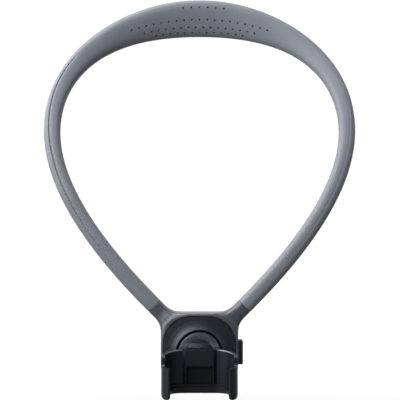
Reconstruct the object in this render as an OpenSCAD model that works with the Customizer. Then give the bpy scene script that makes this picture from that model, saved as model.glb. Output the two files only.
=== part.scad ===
// Neck mount for a small camera.
// A silicone loop with a bendable core hangs round the neck. Its two arms plug
// on to the horns of a housing that rests on the chest. A hub turns in the
// housing and carries an open cradle, and a side button frees the hub.
// The origin is in the middle of the nape pad's face, +Z up and -Y to the front.

/* [Neck loop] */
// Width of the loop between the middles of its arms
loop_w = 196.6; // [180:1:215]
// Height from the lower ends of the arms to the middle of the nape pad
loop_rise = 195.9; // [175:1:215]
// How far the nape pad stands behind the lower ends of the arms
nape_back = 60.3; // [45:1:75]
// Angle of the arms' lower ends from upright
arm_angle = 45; // [40:1:50]
// Width of an arm
arm_w = 10.7; // [9.5:0.1:12]
// Thickness of an arm
arm_t = 9.4; // [8.4:0.1:10.4]
// Width of the pad at the nape
pad_w = 25.8; // [20:0.2:30]
// Thickness of the pad at the nape
pad_t = 11; // [9.6:0.2:13]
// Lean of the pad's face towards the wearer's back, in degrees
pad_lean = 10; // [0:1:20]
// Wall of the silicone over the foam of the pad
pad_wall = 2.2; // [1.6:0.1:2.6]
// Depth of the groove along each arm
groove_depth = 0.6; // [0.2:0.1:1]

/* [Vents] */
// Diameter of a vent
vent_d = 1; // [0.6:0.1:1.4]
// Distance from one vent of a row to the next
vent_pitch = 5.2; // [4:0.1:6]

/* [Core] */
// Width of the metal strip in the loop
core_w = 6; // [4:0.2:6.6]
// Thickness of the metal strip
core_t = 1.6; // [1:0.1:2]
// Length of strip that reaches into each horn of the housing
core_reach = 19.5; // [17:0.5:21]

/* [Housing] */
// Width of the housing
frame_w = 50; // [47:0.5:54]
// Height of the housing
frame_h = 51.2; // [49:0.5:56]
// Depth of the housing
frame_t = 16; // [15.6:0.2:18]
// Corner radius of the housing
frame_r = 16; // [14:0.5:18]
// Radius of the housing's front and rear edges
frame_edge = 1.6; // [1:0.1:2]
// Rim of the housing that shows round the covers
rim_w = 1.7; // [1.2:0.1:2.2]
// Ledge inside the rim that the covers seat on
ledge_w = 1.5; // [1:0.1:2]
// Distance sideways from the housing's flank to the middle of an arm's end
horn_out = 4.1; // [3:0.1:6]
// Height from the housing's top edge to the middle of an arm's end
horn_up = 4; // [3:0.1:6]
// Radius of the fillets from the horns to the housing's flanks
flank_fillet = 14; // [10:0.5:16]
// Radius of the fillets from the horns to the housing's top edge
top_fillet = 17; // [12:0.5:19]

/* [Covers] */
// Thickness of the front cover's plate
cover_t = 2; // [1.6:0.1:2.4]
// Height of the collar that rises from the front cover about the hub
collar_h = 2.4; // [1.6:0.1:3]
// Flat left between the collar's foot and the nearest edge of the cover
collar_margin = 1.5; // [0.7:0.1:3]
// Radius at the crest of the collar
collar_crest_r = 16.2; // [15.6:0.1:17]
// Thickness of the back cover
back_t = 2.4; // [2:0.1:2.8]
// Thickness of the pad on the back cover
chest_pad_t = 2.4; // [1.6:0.2:4]
// How far the chest pad lies inside the back cover's outline
chest_inset = 1.6; // [1:0.1:3]

/* [Hub] */
// Diameter of the hub's disc
disc_d = 27.6; // [26:0.2:28.4]
// How far the disc's face lies behind the collar's crest
disc_sunk = 0.5; // [0.2:0.1:1]
// Diameter of the round tongue behind the cradle, which seats in the disc
tongue_d = 18.4; // [16:0.2:20]
// How far the disc's seat for the cradle stands out of its face
boss_h = 1.5; // [1.2:0.1:2]
// Diameter of the hub's spigot
spigot_d = 14; // [13:0.2:15]
// Travel of the button, which is the latch's bite too
press_travel = 2.2; // [2:0.1:2.4]

/* [Button] */
// How far the button stands out of the housing
button_out = 3; // [2.4:0.1:4]
// Height of the button
button_h = 15.6; // [12:0.2:16]
// Width of the button, front to back
button_w = 7; // [6:0.2:7.4]

/* [Cradle] */
// Width of the cradle over its jaws
cradle_w = 47.4; // [45:0.2:50]
// Depth of the cradle, front to back
cradle_d = 27.6; // [25:0.2:32]
// Height of the cradle above the hub's axis
cradle_top = 3.2; // [2:0.1:4]
// Depth of the cradle below the hub's axis
cradle_drop = 24.4; // [22:0.2:28]
// Wall of the cradle
cradle_wall = 2.2; // [2:0.1:2.4]
// Radius of the cradle's rear corners
cradle_r = 14.5; // [12:0.5:16]
// Radius of the bend of each lip
lip_r = 6.5; // [5:0.5:7]
// How far each lip comes in from the cradle's side
lip_in = 5.8; // [4:0.2:8]
// Height of the two lips
lip_h = 19.4; // [15:0.2:20]
// Width of the ledge that carries the camera
ledge_in = 3.2; // [2:0.1:4]
// Thickness of that ledge
ledge_t = 3.3; // [2.4:0.1:4]
// How far the ledge's underside lies above the wall's foot
ledge_lift = 0.8; // [0:0.1:1.6]
// Radius of the wall's lower corners, seen from the front
foot_r = 3; // [1:0.2:4]
// Thickness of the jaw liners
liner_t = 1; // [0.8:0.1:1.2]

/* [Hidden] */
$fn = 96;

// Clearances, and the overrun of every cut
fit = 0.1;
run_fit = 0.05;
slide_fit = 0.2;
soft_gap = 0.3;
over = 1;

// Places about the hub's axis, which is the working origin of the modules below.
// There the housing's front is the plane y = 0.
arm_foot_x = frame_w / 2 + horn_out;
arm_foot_z = frame_h / 2 + horn_up;
mid_y = frame_t / 2;
cover_w = frame_w - 2 * rim_w;
cover_h = frame_h - 2 * rim_w;
cover_r = frame_r - rim_w;
room_w = cover_w - 2 * ledge_w;
room_h = cover_h - 2 * ledge_w;
room_r = cover_r - ledge_w;
back_y = frame_t - back_t;
disc_y = disc_sunk - collar_h;
boss_y = disc_y - boss_h;

// The face of the nape pad, and the lean of its outward direction
seat_y = mid_y + nape_back - pad_t / 2 * cos(pad_lean);
seat_z = arm_foot_z + loop_rise - pad_t / 2 * sin(pad_lean);

module from_hub() {
    translate([0, -seat_y, -seat_z])
        children();
}

module both_sides() {
    children();
    mirror([1, 0, 0])
        children();
}

// A flat shape drawn in x and z, given depth from y0 to y1
module slab(y0, y1) {
    translate([0, y1, 0])
        rotate([90, 0, 0])
            linear_extrude(y1 - y0)
                children();
}

// A rod along y at the place [x, z]
module rod(place, r, y0, y1) {
    translate([place[0], y1, place[1]])
        rotate([90, 0, 0])
            cylinder(r = r, h = y1 - y0);
}

// A ring or turned piece about the y axis, drawn as radius and y
module turned() {
    rotate([-90, 0, 0])
        rotate_extrude()
            children();
}

module rounded(w, h, r) {
    square([w, h - 2 * r], center = true);
    square([w - 2 * r, h], center = true);
    for (sx = [-1, 1], sz = [-1, 1])
        translate([sx * (w / 2 - r), sz * (h / 2 - r)])
            circle(r);
}

// Neck loop. Each half is two smooth curves that meet where the loop is widest.
// The shares are of half the width and of the rise.
nape_pull_share = 0.51;
shoulder_pull_share = 0.26;
widest_share = 0.6;
arm_pull_share = 0.21;
foot_pull_share = 0.24;
// The pad swells as a bell curve of this share of the half loop
pad_spread_share = 0.27;
half_rings = 32;
swell_power = 2.6;

half_w = loop_w / 2;
nape_z = arm_foot_z + loop_rise;
widest_z = arm_foot_z + widest_share * loop_rise;
arm_way = [sin(arm_angle), cos(arm_angle)];
nape_curve = [[0, nape_z], [nape_pull_share * half_w, nape_z],
    [half_w, widest_z + shoulder_pull_share * loop_rise], [half_w, widest_z]];
arm_curve = [[half_w, widest_z], [half_w, widest_z - arm_pull_share * loop_rise],
    [arm_foot_x, arm_foot_z] + foot_pull_share * loop_rise * arm_way,
    [arm_foot_x, arm_foot_z]];

function bezier(c, t) = pow(1 - t, 3) * c[0] + 3 * pow(1 - t, 2) * t * c[1]
    + 3 * (1 - t) * t * t * c[2] + pow(t, 3) * c[3];
function leaned(p) = [p[0], mid_y + nape_back * pow((p[1] - arm_foot_z) / loop_rise, 2), p[1]];
function half_point(k) = leaned(k < half_rings / 2 ? bezier(nape_curve, 2 * k / half_rings)
    : bezier(arm_curve, 2 * k / half_rings - 1));
function flipped(p) = [-p[0], p[1], p[2]];
half_path = [for (k = [0:half_rings]) half_point(k)];
loop_path = concat([for (k = [half_rings:-1:1]) flipped(half_path[k])], half_path);
last = len(loop_path) - 1;

function steps(path) = [for (i = [1:len(path) - 1]) norm(path[i] - path[i - 1])];
function total(v, n, k = 0) = k == n ? 0 : v[k] + total(v, n, k + 1);
half_steps = steps(half_path);
half_length = total(half_steps, half_rings);
half_shares = [for (k = [0:half_rings]) total(half_steps, k) / half_length];
function share_at(i) = half_shares[abs(i - half_rings)];
function bell(i) = exp(-pow(share_at(i) / pad_spread_share, 2));

function unit(v) = v / norm(v);
foot_way = [arm_way[0], 0, arm_way[1]];
function way_at(i) = i == 0 ? [-foot_way[0], 0, foot_way[2]]
    : i == last ? -foot_way : unit(loop_path[i + 1] - loop_path[i - 1]);
function out_at(i) = unit(cross(way_at(i), [0, 1, 0]));
function face_at(i) = cross(way_at(i), out_at(i));
function lean_at(i) = pad_lean * bell(i);
function broad_at(i) = cos(lean_at(i)) * out_at(i) + sin(lean_at(i)) * face_at(i);
function front_at(i) = cos(lean_at(i)) * face_at(i) - sin(lean_at(i)) * out_at(i);

function swell(c, p) = sign(c) * pow(abs(c), 2 / p);
// One point of the section at ring i: angle from the outer edge, half width,
// half thickness and roundness
function section_point(i, angle, a, b, p, dip = 0) = loop_path[i]
    + a * swell(cos(angle), p) * broad_at(i)
    + (b * swell(sin(angle), p) - dip) * front_at(i);
function half_width_at(i) = (arm_w + (pad_w - arm_w) * bell(i)) / 2;
function half_thick_at(i) = (arm_t + (pad_t - arm_t) * bell(i)) / 2;

// The groove is cut where the arm is free and fades towards the pad and the foot
groove_angles = [70, 73, 76, 79];
groove_from_share = 0.5;
groove_to_share = 0.93;
groove_fade_share = 0.08;
function ramp(x) = max(0, min(1, x));
function groove_at(i) = groove_depth
    * ramp((share_at(i) - groove_from_share + groove_fade_share) / groove_fade_share)
    * ramp((groove_to_share + groove_fade_share - share_at(i)) / groove_fade_share);
sleeve_angles = concat([0, 20, 40, 58], groove_angles, [for (g = [100:20:340]) g]);
function sleeve_ring(i) = [for (g = sleeve_angles)
    section_point(i, g, half_width_at(i), half_thick_at(i), swell_power,
        g == groove_angles[1] || g == groove_angles[2] ? groove_at(i) : 0)];

// The room inside the sleeve is the core's slot in the arms, and widens for the foam
core_power = 5;
core_sides = 12;
foam_end_share = 0.36;
function foam_at(i) = ramp(1.6 * (1 - share_at(i) / foam_end_share));
function room_half(i, slot, full) = slot + (full - slot) * foam_at(i);
function inner_ring(i, a, b) = [for (k = [0:core_sides - 1])
    section_point(i, 360 * k / core_sides, a, b, core_power)];
function core_ring(i, gap) = inner_ring(i, core_w / 2 + gap, core_t / 2 + gap);
function foam_ring(i, gap) = inner_ring(i,
    room_half(i, core_w / 2 + fit, half_width_at(i) - pad_wall) - gap,
    room_half(i, core_t / 2 + fit, half_thick_at(i) - pad_wall) - gap);
foam_first = half_rings - len([for (s = half_shares) if (s > 0 && s < foam_end_share) s]);
foam_last = 2 * half_rings - foam_first;

// Faces of a tube of rings with n points each, whose numbers start at s
function skin(count, n, s, turn) = [for (i = [0:count - 2], k = [0:n - 1])
    let (a = s + i * n + k, b = s + i * n + (k + 1) % n)
        each turn ? [[a, a + n, b], [b, a + n, b + n]] : [[a, b, a + n], [b, b + n, a + n]]];
function lid(n, s, turn) = [for (k = [1:n - 2]) turn ? [s, s + k + 1, s + k] : [s, s + k, s + k + 1]];
// A flat ring between an outer loop of n points and an inner loop of m points
function rim(n, s, m, q, turn) = [for (k = [0:n - 1])
    let (a = s + k, b = s + (k + 1) % n,
        j = floor(k * m / n + 0.5), j2 = floor((k + 1) * m / n + 0.5),
        c = q + j % m, d = q + j2 % m)
        each concat([turn ? [a, c, b] : [a, b, c]],
            j2 > j ? [turn ? [b, c, d] : [b, d, c]] : [])];

module solid_tube(rings) {
    n = len(rings[0]);
    count = len(rings);
    polyhedron([for (r = rings) each r], concat(skin(count, n, 0, true), lid(n, 0, false),
        lid(n, (count - 1) * n, true)));
}

module hollow_tube(outer, inner) {
    n = len(outer[0]);
    m = len(inner[0]);
    count = len(outer);
    inside = count * n;
    polyhedron(concat([for (r = outer) each r], [for (r = inner) each r]),
        concat(skin(count, n, 0, true), skin(count, m, inside, false),
            rim(n, 0, m, inside, false),
            rim(n, (count - 1) * n, m, inside + (count - 1) * m, true)));
}

// Rows of vents: share of the half width from the middle towards the outer edge,
// and how many vents the row has
vent_row_shares = [0.62, -0.05, -0.46, -0.74];
vent_counts = [6, 19, 16, 13];

// The loop's point and section at a distance along it from the nape, to either side
function ring_near(d) = half_rings + sign(d) * len([for (k = [1:half_rings])
    if (total(half_steps, k) < abs(d)) k]);
function blend(d, f0, f1, d0, d1) = f0 + (f1 - f0) * (d - d0) / (d1 - d0);

module vents() {
    for (row = [0:len(vent_counts) - 1], k = [0:vent_counts[row] - 1]) {
        d = (k - (vent_counts[row] - 1) / 2) * vent_pitch;
        i = ring_near(d);
        j = i + (d < 0 ? -1 : 1);
        di = (i < half_rings ? -1 : 1) * total(half_steps, abs(i - half_rings));
        dj = (j < half_rings ? -1 : 1) * total(half_steps, abs(j - half_rings));
        w = blend(d, 0, 1, di, dj);
        tip = (1 - w) * vent_point(i, row, 1) + w * vent_point(j, row, 1);
        root = (1 - w) * vent_point(i, row, 0) + w * vent_point(j, row, 0);
        peg(root, tip + over * unit(tip - root), vent_d / 2);
    }
}

// A vent's middle on the pad's face, and its root in the foam behind the wall
function vent_point(i, row, out) = let (s = vent_row_shares[row],
    p = swell_power, a = half_width_at(i), b = half_thick_at(i),
    v = b * pow(1 - pow(abs(s), p), 1 / p),
    slope = b / a * pow(abs(s), p - 1) * pow(1 - pow(abs(s), p), 1 / p - 1) * sign(s),
    n = unit(slope * broad_at(i) + front_at(i)))
    loop_path[i] + a * s * broad_at(i) + v * front_at(i) + (out ? 0 : -(pad_wall + 2 * fit)) * n;

// A round peg from point p to point q
module peg(p, q, r) {
    v = q - p;
    translate(p)
        rotate([0, acos(v[2] / norm(v)), atan2(v[1], v[0])])
            cylinder(r = r, h = norm(v), $fn = 24);
}

module loop_sleeve() {
    color("#7c7f88")
        from_hub()
            difference() {
                hollow_tube([for (i = [0:last]) sleeve_ring(i)],
                    [for (i = [0:last]) foam_ring(i, 0)]);
                vents();
            }
}

module nape_cushion() {
    color("#4a4b50")
        from_hub()
            hollow_tube([for (i = [foam_first:foam_last]) foam_ring(i, fit)],
                [for (i = [foam_first:foam_last]) core_ring(i, fit / 2)]);
}

// Middle of each clamp screw, on the strip inside the horn
clamp_in = core_reach - core_w / 2;
clamp_place = [arm_foot_x, arm_foot_z] - clamp_in * arm_way;
clamp_screw_r = 1;
clamp_hole_r = clamp_screw_r + fit;

function moved(ring, v) = [for (p = ring) p + v];

module loop_core() {
    ring0 = core_ring(0, 0);
    ring1 = core_ring(last, 0);
    color("#c4c6ca")
        from_hub()
            difference() {
                solid_tube(concat([moved(ring0, core_reach * [foot_way[0], 0, -foot_way[2]])],
                    [for (i = [0:last]) core_ring(i, 0)],
                    [moved(ring1, -core_reach * foot_way)]));
                both_sides()
                    rod(clamp_place, clamp_hole_r, mid_y - core_t, mid_y + core_t);
            }
}

// Housing. A horn is a loft between an outer and an inner edge line, whose
// fillets run a hair into the block.
horn_steps = 8;
horn_sink = 0.15;
foot_out = [arm_foot_x, arm_foot_z] + arm_w / 2 * [arm_way[1], -arm_way[0]];
foot_in = [arm_foot_x, arm_foot_z] - arm_w / 2 * [arm_way[1], -arm_way[0]];
// Centres of the two fillets, beside the flank and above the top edge
flank_turn = flank_fillet * tan(arm_angle / 2);
flank_corner_z = foot_out[1] - (foot_out[0] - frame_w / 2) / tan(arm_angle);
flank_centre = [frame_w / 2 - horn_sink + flank_fillet, flank_corner_z - flank_turn];
top_turn = top_fillet * tan((90 - arm_angle) / 2);
top_corner_x = foot_in[0] - (foot_in[1] - frame_h / 2) * tan(arm_angle);
top_centre = [top_corner_x - top_turn, frame_h / 2 - horn_sink + top_fillet];
root_in = frame_r / 2;

function flank_arc(t) = flank_centre
    + flank_fillet * [-cos(arm_angle * (1 - t)), sin(arm_angle * (1 - t))];
function top_arc(t) = top_centre
    + top_fillet * [sin((90 - arm_angle) * (1 - t)), -cos((90 - arm_angle) * (1 - t))];
outer_line = concat([foot_out], [for (k = [0:horn_steps]) flank_arc(k / horn_steps)],
    [[frame_w / 2 - frame_edge, flank_centre[1] - root_in]]);
inner_line = concat([foot_in], [for (k = [0:horn_steps]) top_arc(k / horn_steps)],
    [[top_centre[0] - root_in, frame_h / 2 - frame_edge]]);
horn_angles = [for (g = [0:15:345]) g];
horn_depth_share = 0.94;

function horn_ring(k) = let (
    a = outer_line[k], b = inner_line[k],
    mid = (a + b) / 2, half = (a - b) / 2,
    grow = ramp(k / horn_steps),
    deep = arm_t / 2 + (horn_depth_share * mid_y - arm_t / 2) * grow * grow * (3 - 2 * grow),
    p = swell_power + grow)
    [for (g = horn_angles) let (c = mid + half * swell(cos(g), p))
        [c[0], mid_y - deep * swell(sin(g), p), c[1]]];

module horn() {
    solid_tube([for (k = [0:len(outer_line) - 1]) horn_ring(k)]);
}

// The housing's block, as rings from front to rear whose edges are rounded
edge_steps = 3;
corner_steps = 10;
function block_ring(y, inset) = let (r = frame_r - inset)
    [for (q = [0:3], k = [0:corner_steps]) let (g = 90 * (q + k / corner_steps),
        sx = q == 0 || q == 3 ? 1 : -1, sz = q < 2 ? 1 : -1)
        [sx * (frame_w / 2 - frame_r) + r * cos(g), y, sz * (frame_h / 2 - frame_r) + r * sin(g)]];
function edge_ring(k, y, way) = let (g = 90 * k / edge_steps)
    block_ring(y + way * frame_edge * (1 - sin(g)), frame_edge * (1 - cos(g)));

module frame_block() {
    solid_tube(concat([for (k = [edge_steps:-1:0]) edge_ring(k, frame_t, -1)],
        [for (k = [0:edge_steps]) edge_ring(k, 0, 1)]));
}

clamp_r = 4.5;
clamp_t = 1.5;
clamp_room = 0.7;
clamp_pocket_r = clamp_r + clamp_room;
clamp_seat_t = 3.5;
clamp_seat_y = mid_y + core_t / 2 + fit;
clamp_head_r = 1.9;
clamp_head_h = 1.2;

// The straight slot for the strip, from the horn's end to the clamp's pocket
module core_slot() {
    translate([arm_foot_x, mid_y, arm_foot_z])
        rotate([0, arm_angle, 0])
            translate([0, 0, over / 2 - core_reach / 2])
                cube([core_w + 2 * fit, core_t + 2 * fit, core_reach + over], center = true);
}

module yoke_frame() {
    color("#5c5e66")
        from_hub()
            difference() {
                union() {
                    difference() {
                        union() {
                            frame_block();
                            both_sides()
                                horn();
                        }
                        slab(cover_t, back_y)
                            rounded(room_w, room_h, room_r);
                        both_sides()
                            rod(clamp_place, clamp_pocket_r, cover_t, clamp_seat_y);
                    }
                    both_sides()
                        rod(clamp_place, clamp_pocket_r, clamp_seat_y, clamp_seat_y + clamp_seat_t);
                }
                slab(-over, cover_t)
                    rounded(cover_w, cover_h, cover_r);
                slab(back_y, frame_t + over)
                    rounded(cover_w, cover_h, cover_r);
                both_sides() {
                    core_slot();
                    rod(clamp_place, clamp_screw_r + run_fit, mid_y, clamp_seat_y + clamp_seat_t + over);
                }
                button_window(slide_fit);
            }
}

module core_clamps() {
    color("#a7a9ad")
        from_hub()
            both_sides()
                difference() {
                    rod(clamp_place, clamp_r, mid_y - core_t / 2 - clamp_t, mid_y - core_t / 2);
                    rod(clamp_place, clamp_hole_r, 0, mid_y);
                }
}

// A pan-headed screw along +y whose head's underside is at y
module screw(place, y, head_r, head_h, shank_r, length) {
    rod(place, shank_r, y, y + length);
    rod(place, head_r, y - head_h, y);
}

module clamp_screws() {
    y = mid_y - core_t / 2 - clamp_t;
    color("#8d8f94")
        from_hub()
            both_sides()
                screw(clamp_place, y, clamp_head_r, clamp_head_h, clamp_screw_r,
                    clamp_seat_y + clamp_seat_t - y);
}

// Front cover, with its collar about the hub and the posts behind it
disc_gap = 0.7;
recess_r = disc_d / 2 + disc_gap;
recess_floor = 1.6;
floor_t = 2.4;
bush_flange_r = 11.5;
bush_flange_t = 1;
bush_r = 9;
bush_end = 6.2;
bush_boss_r = 12;
spigot_r = spigot_d / 2;
groove_y = 7;
groove_w = 2.2;
slide_t = groove_w - 2 * fit;
slide_y = groove_y + fit;
keeper_y = slide_y + slide_t + slide_fit;
keeper_t = 1.2;
keeper_post_r = 2.4;
keeper_places = [[10, 12.4], [-10, 12.4], [10, -12.4], [-10, -12.4]];
keeper_screw_r = 0.9;
housing_post_r = 2.6;
// Distances of the posts from the room's edges, and of the upper two from the middle
post_down = 3.4;
post_up = 5.9;
post_in = 6.8;
post_gap = 1.1;
upper_post_x = clamp_place[0] - clamp_pocket_r - housing_post_r - post_gap;
housing_places = [for (s = [1, -1]) each [[s * upper_post_x, room_h / 2 - post_down],
    [s * (room_w / 2 - post_in), post_up - room_h / 2]]];
housing_screw_r = 1.1;
screw_bite = 8;

// The collar's outline rises from the plate in two arcs that meet half way up
collar_foot_r = min(cover_w, cover_h) / 2 - collar_margin;
collar_run = collar_foot_r - collar_crest_r;
collar_arc_r = (collar_run * collar_run + collar_h * collar_h) / (4 * collar_h);
collar_sweep = 2 * atan(collar_h / collar_run);
module collar_outline() {
    foot = [for (k = [0:8]) let (g = collar_sweep * k / 8)
        [collar_foot_r - collar_arc_r * sin(g), -collar_arc_r * (1 - cos(g))]];
    crest = [for (k = [8:-1:0]) let (g = collar_sweep * k / 8)
        [collar_crest_r + collar_arc_r * sin(g), -collar_h + collar_arc_r * (1 - cos(g))]];
    polygon(concat([[recess_r, cover_t], [collar_foot_r, cover_t]], foot, crest,
        [[recess_r, -collar_h]]));
}

module front_cover() {
    color("#26272c")
        from_hub()
            difference() {
                union() {
                    slab(0, cover_t)
                        rounded(cover_w - 2 * fit, cover_h - 2 * fit, cover_r - fit);
                    turned()
                        collar_outline();
                    rod([0, 0], recess_r + cover_t, 0, recess_floor + floor_t);
                    rod([0, 0], bush_boss_r, 0, bush_end - over);
                    for (p = keeper_places)
                        rod(p, keeper_post_r, 0, keeper_y);
                    for (p = housing_places)
                        rod(p, housing_post_r, 0, back_y);
                }
                rod([0, 0], recess_r, -collar_h - over, recess_floor);
                rod([0, 0], bush_flange_r + run_fit, 0, recess_floor + bush_flange_t);
                rod([0, 0], bush_r + run_fit, 0, bush_end);
                for (p = keeper_places)
                    rod(p, keeper_screw_r + run_fit, cover_t + over, keeper_y + over);
                for (p = housing_places)
                    rod(p, housing_screw_r + run_fit, back_y - screw_bite - over, back_y + over);
            }
}

module socket_bush() {
    color("#b49a5a")
        from_hub()
            difference() {
                union() {
                    rod([0, 0], bush_flange_r, recess_floor, recess_floor + bush_flange_t);
                    rod([0, 0], bush_r, recess_floor, bush_end);
                }
                rod([0, 0], spigot_r + run_fit, recess_floor - over, bush_end + over);
            }
}

// Hub: disc with a round seat for the cradle's tongue, and a spigot with a ring
// groove and a latch groove. Beside the tongue the disc's face ramps out to the
// cradle's back in a hollow curve.
disc_edge = 0.7;
tongue_r = tongue_d / 2;
tongue_sunk = 0.6;
tongue_t = 0.9;
tongue_y = disc_y + tongue_sunk;
tongue_end = tongue_y + tongue_t;
ramp_foot_z = 4.4;
ramp_run = 5.6;
ramp_r = (ramp_run * ramp_run + boss_h * boss_h) / (2 * boss_h);
ramp_steps = 6;
spigot_end = 11;
nose_h = 1.6;
ring_r = 0.8;
ring_y = 4;
ring_mid_r = spigot_r + run_fit - soft_gap - ring_r;
hub_screw_r = 1.5;
hub_head_r = 2.7;
hub_head_h = 2.4;
pin_r = 1;
pin_reach = 1.6;
pin_places = [[-5.5, 0], [5.5, 0]];
panel_h = 1.4;
// The cradle's panel closes the hub screw's hole with this much material
screw_cover = 0.5;
screw_tip_y = boss_y - cradle_wall - panel_h + screw_cover;
hub_back = recess_floor - fit;

module hub_seat() {
    low = -disc_d / 2 - over;
    ramp = [for (k = [0:ramp_steps]) let (g = k / ramp_steps * asin(ramp_run / ramp_r))
        [disc_y - ramp_r * (1 - cos(g)), ramp_foot_z + ramp_run - ramp_r * sin(g)]];
    intersection() {
        rod([0, 0], disc_d / 2 - disc_edge, boss_y, disc_y + over);
        rotate([90, 0, 90])
            linear_extrude(disc_d, center = true)
                polygon(concat(ramp, [[boss_y, low], [disc_y + over, low],
                    [disc_y + over, ramp_foot_z + ramp_run]]));
    }
}

module swivel_disc() {
    color("#303137")
        from_hub()
            difference() {
                union() {
                    hub_seat();
                    turned()
                        polygon([[0, disc_y], [disc_d / 2 - disc_edge, disc_y],
                            [disc_d / 2, disc_y + disc_edge],
                            [disc_d / 2, hub_back], [spigot_r, hub_back],
                            [spigot_r, ring_y - ring_r - fit],
                            [ring_mid_r - ring_r - fit, ring_y - ring_r - fit],
                            [ring_mid_r - ring_r - fit, ring_y + ring_r + fit],
                            [spigot_r, ring_y + ring_r + fit], [spigot_r, groove_y],
                            [spigot_r - latch_bite, groove_y],
                            [spigot_r - latch_bite, groove_y + groove_w],
                            [spigot_r, groove_y + groove_w], [spigot_r, spigot_end - nose_h],
                            [spigot_r - nose_h, spigot_end], [0, spigot_end]]);
                }
                rod([0, 0], tongue_r + fit, boss_y - over, tongue_end);
                rod([0, 0], hub_screw_r + fit, boss_y - over, spigot_end);
                rod([0, 0], hub_head_r + fit, spigot_end - hub_head_h - fit, spigot_end + over);
                for (p = pin_places)
                    rod(p, pin_r + run_fit, tongue_end - over, tongue_end + pin_reach + fit);
            }
}

module friction_ring() {
    color("#111214")
        from_hub()
            translate([0, ring_y, 0])
                turned()
                    translate([ring_mid_r, 0])
                        circle(ring_r);
}

module hub_screw() {
    y = spigot_end - hub_head_h;
    color("#8d8f94")
        from_hub() {
            rod([0, 0], hub_screw_r, screw_tip_y, y);
            rod([0, 0], hub_head_r, y, spigot_end - fit);
        }
}

module locating_pins() {
    color("#a7a9ad")
        from_hub()
            for (p = pin_places)
                rod(p, pin_r, tongue_end - pin_reach, tongue_end + pin_reach);
}

// Latch slide: its oval window clears the spigot when the button is pressed,
// and bites in the spigot's groove when the springs push it out
window_gap = 0.4;
window_r = spigot_r + window_gap;
latch_bite = press_travel - window_gap + slide_fit;
slide_margin = 2.1;
slide_h = 2 * (window_r + slide_margin);
slide_tail = 5.6;
slide_left = -window_r - slide_tail;
flange_t = 1.7;
flange_x = room_w / 2 - slide_fit - flange_t;
tongue_h = 6;
tongue_l = 2;
spring_r = 1.8;
wire_r = 0.25;
spring_turns = 5.5;
spring_places = [-5, 5];
spring_sides = 6;
peg_l = 2.4;

module latch_slide() {
    color("#a7a9ad")
        from_hub()
            difference() {
                union() {
                    slab(slide_y, slide_y + slide_t)
                        translate([slide_left, -slide_h / 2])
                            square([flange_x - slide_left, slide_h]);
                    slab(slide_y, slide_y + slide_t)
                        translate([flange_x - over, -tongue_h / 2])
                            square([tongue_l + over, tongue_h]);
                    for (z = spring_places)
                        translate([slide_left - peg_l, slide_y + slide_t / 2, z])
                            rotate([0, 90, 0])
                                cylinder(r = slide_t / 2 - fit, h = peg_l + over);
                }
                rod([press_travel, 0], window_r, 0, frame_t);
            }
}

flank_x = frame_w / 2;
button_y0 = mid_y - button_w / 2;
button_round = 1;
flange_over = 1;
module button_window(gap) {
    translate([room_w / 2 - over, button_y0 - gap, -button_h / 2 - gap])
        cube([flank_x - room_w / 2 + 2 * over, button_w + 2 * gap, button_h + 2 * gap]);
}

module release_button() {
    color("#17181b")
        from_hub()
            difference() {
                union() {
                    // The cap, rounded over its outer corners seen from the front
                    slab(button_y0, button_y0 + button_w) {
                        translate([flange_x, -button_h / 2])
                            square([flank_x + button_out - button_round - flange_x, button_h]);
                        translate([flange_x, button_round - button_h / 2])
                            square([flank_x + button_out - flange_x, button_h - 2 * button_round]);
                        for (sz = [-1, 1])
                            translate([flank_x + button_out - button_round,
                                sz * (button_h / 2 - button_round)])
                                circle(button_round);
                    }
                    // The flange that keeps it in the housing
                    translate([flange_x, button_y0 - flange_over, -button_h / 2 - flange_over])
                        cube([flange_t, button_w + 2 * flange_over, button_h + 2 * flange_over]);
                }
                slab(slide_y - run_fit, slide_y + slide_t + run_fit)
                    translate([flange_x - over, -tongue_h / 2 - run_fit])
                        square([tongue_l + over + fit, tongue_h + 2 * run_fit]);
            }
}

// A coil spring along x from x0 to x1
module coil(x0, x1, y, z) {
    n = spring_turns * 10;
    r = spring_r - wire_r;
    climb = x1 - x0 - 2 * wire_r;
    solid_tube([for (k = [0:n]) let (g = 36 * k, x = x0 + wire_r + climb * k / n)
        [for (s = [0:spring_sides - 1]) let (q = 360 * s / spring_sides)
            [x + wire_r * sin(q), y + (r + wire_r * cos(q)) * cos(g),
                z + (r + wire_r * cos(q)) * sin(g)]]]);
}

module latch_springs() {
    color("#b9bbbf")
        from_hub()
            for (z = spring_places)
                coil(fit - room_w / 2, slide_left - fit, slide_y + slide_t / 2, z);
}

// The plate behind the latch slide, held on the cover's posts
module latch_keeper() {
    color("#3a3b40")
        from_hub()
            difference() {
                slab(keeper_y, keeper_y + keeper_t)
                    rounded(2 * (keeper_places[0][0] + keeper_post_r),
                        2 * (keeper_places[0][1] + keeper_post_r), keeper_post_r);
                rod([0, 0], spigot_r + 2 * slide_fit, 0, frame_t);
                for (p = keeper_places)
                    rod(p, keeper_screw_r + fit, 0, frame_t);
            }
}

// Screws driven from the housing's rear, with heads towards +y
module rear_screw(place, y, head_r, head_h, shank_r, length) {
    rod(place, shank_r, y - length, y);
    rod(place, head_r, y, y + head_h);
}

keeper_head_r = 1.7;
keeper_head_h = 1;
module keeper_screws() {
    color("#8d8f94")
        from_hub()
            for (p = keeper_places)
                rear_screw(p, keeper_y + keeper_t, keeper_head_r, keeper_head_h, keeper_screw_r,
                    keeper_t + keeper_y - cover_t - 2 * over);
}

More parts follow.
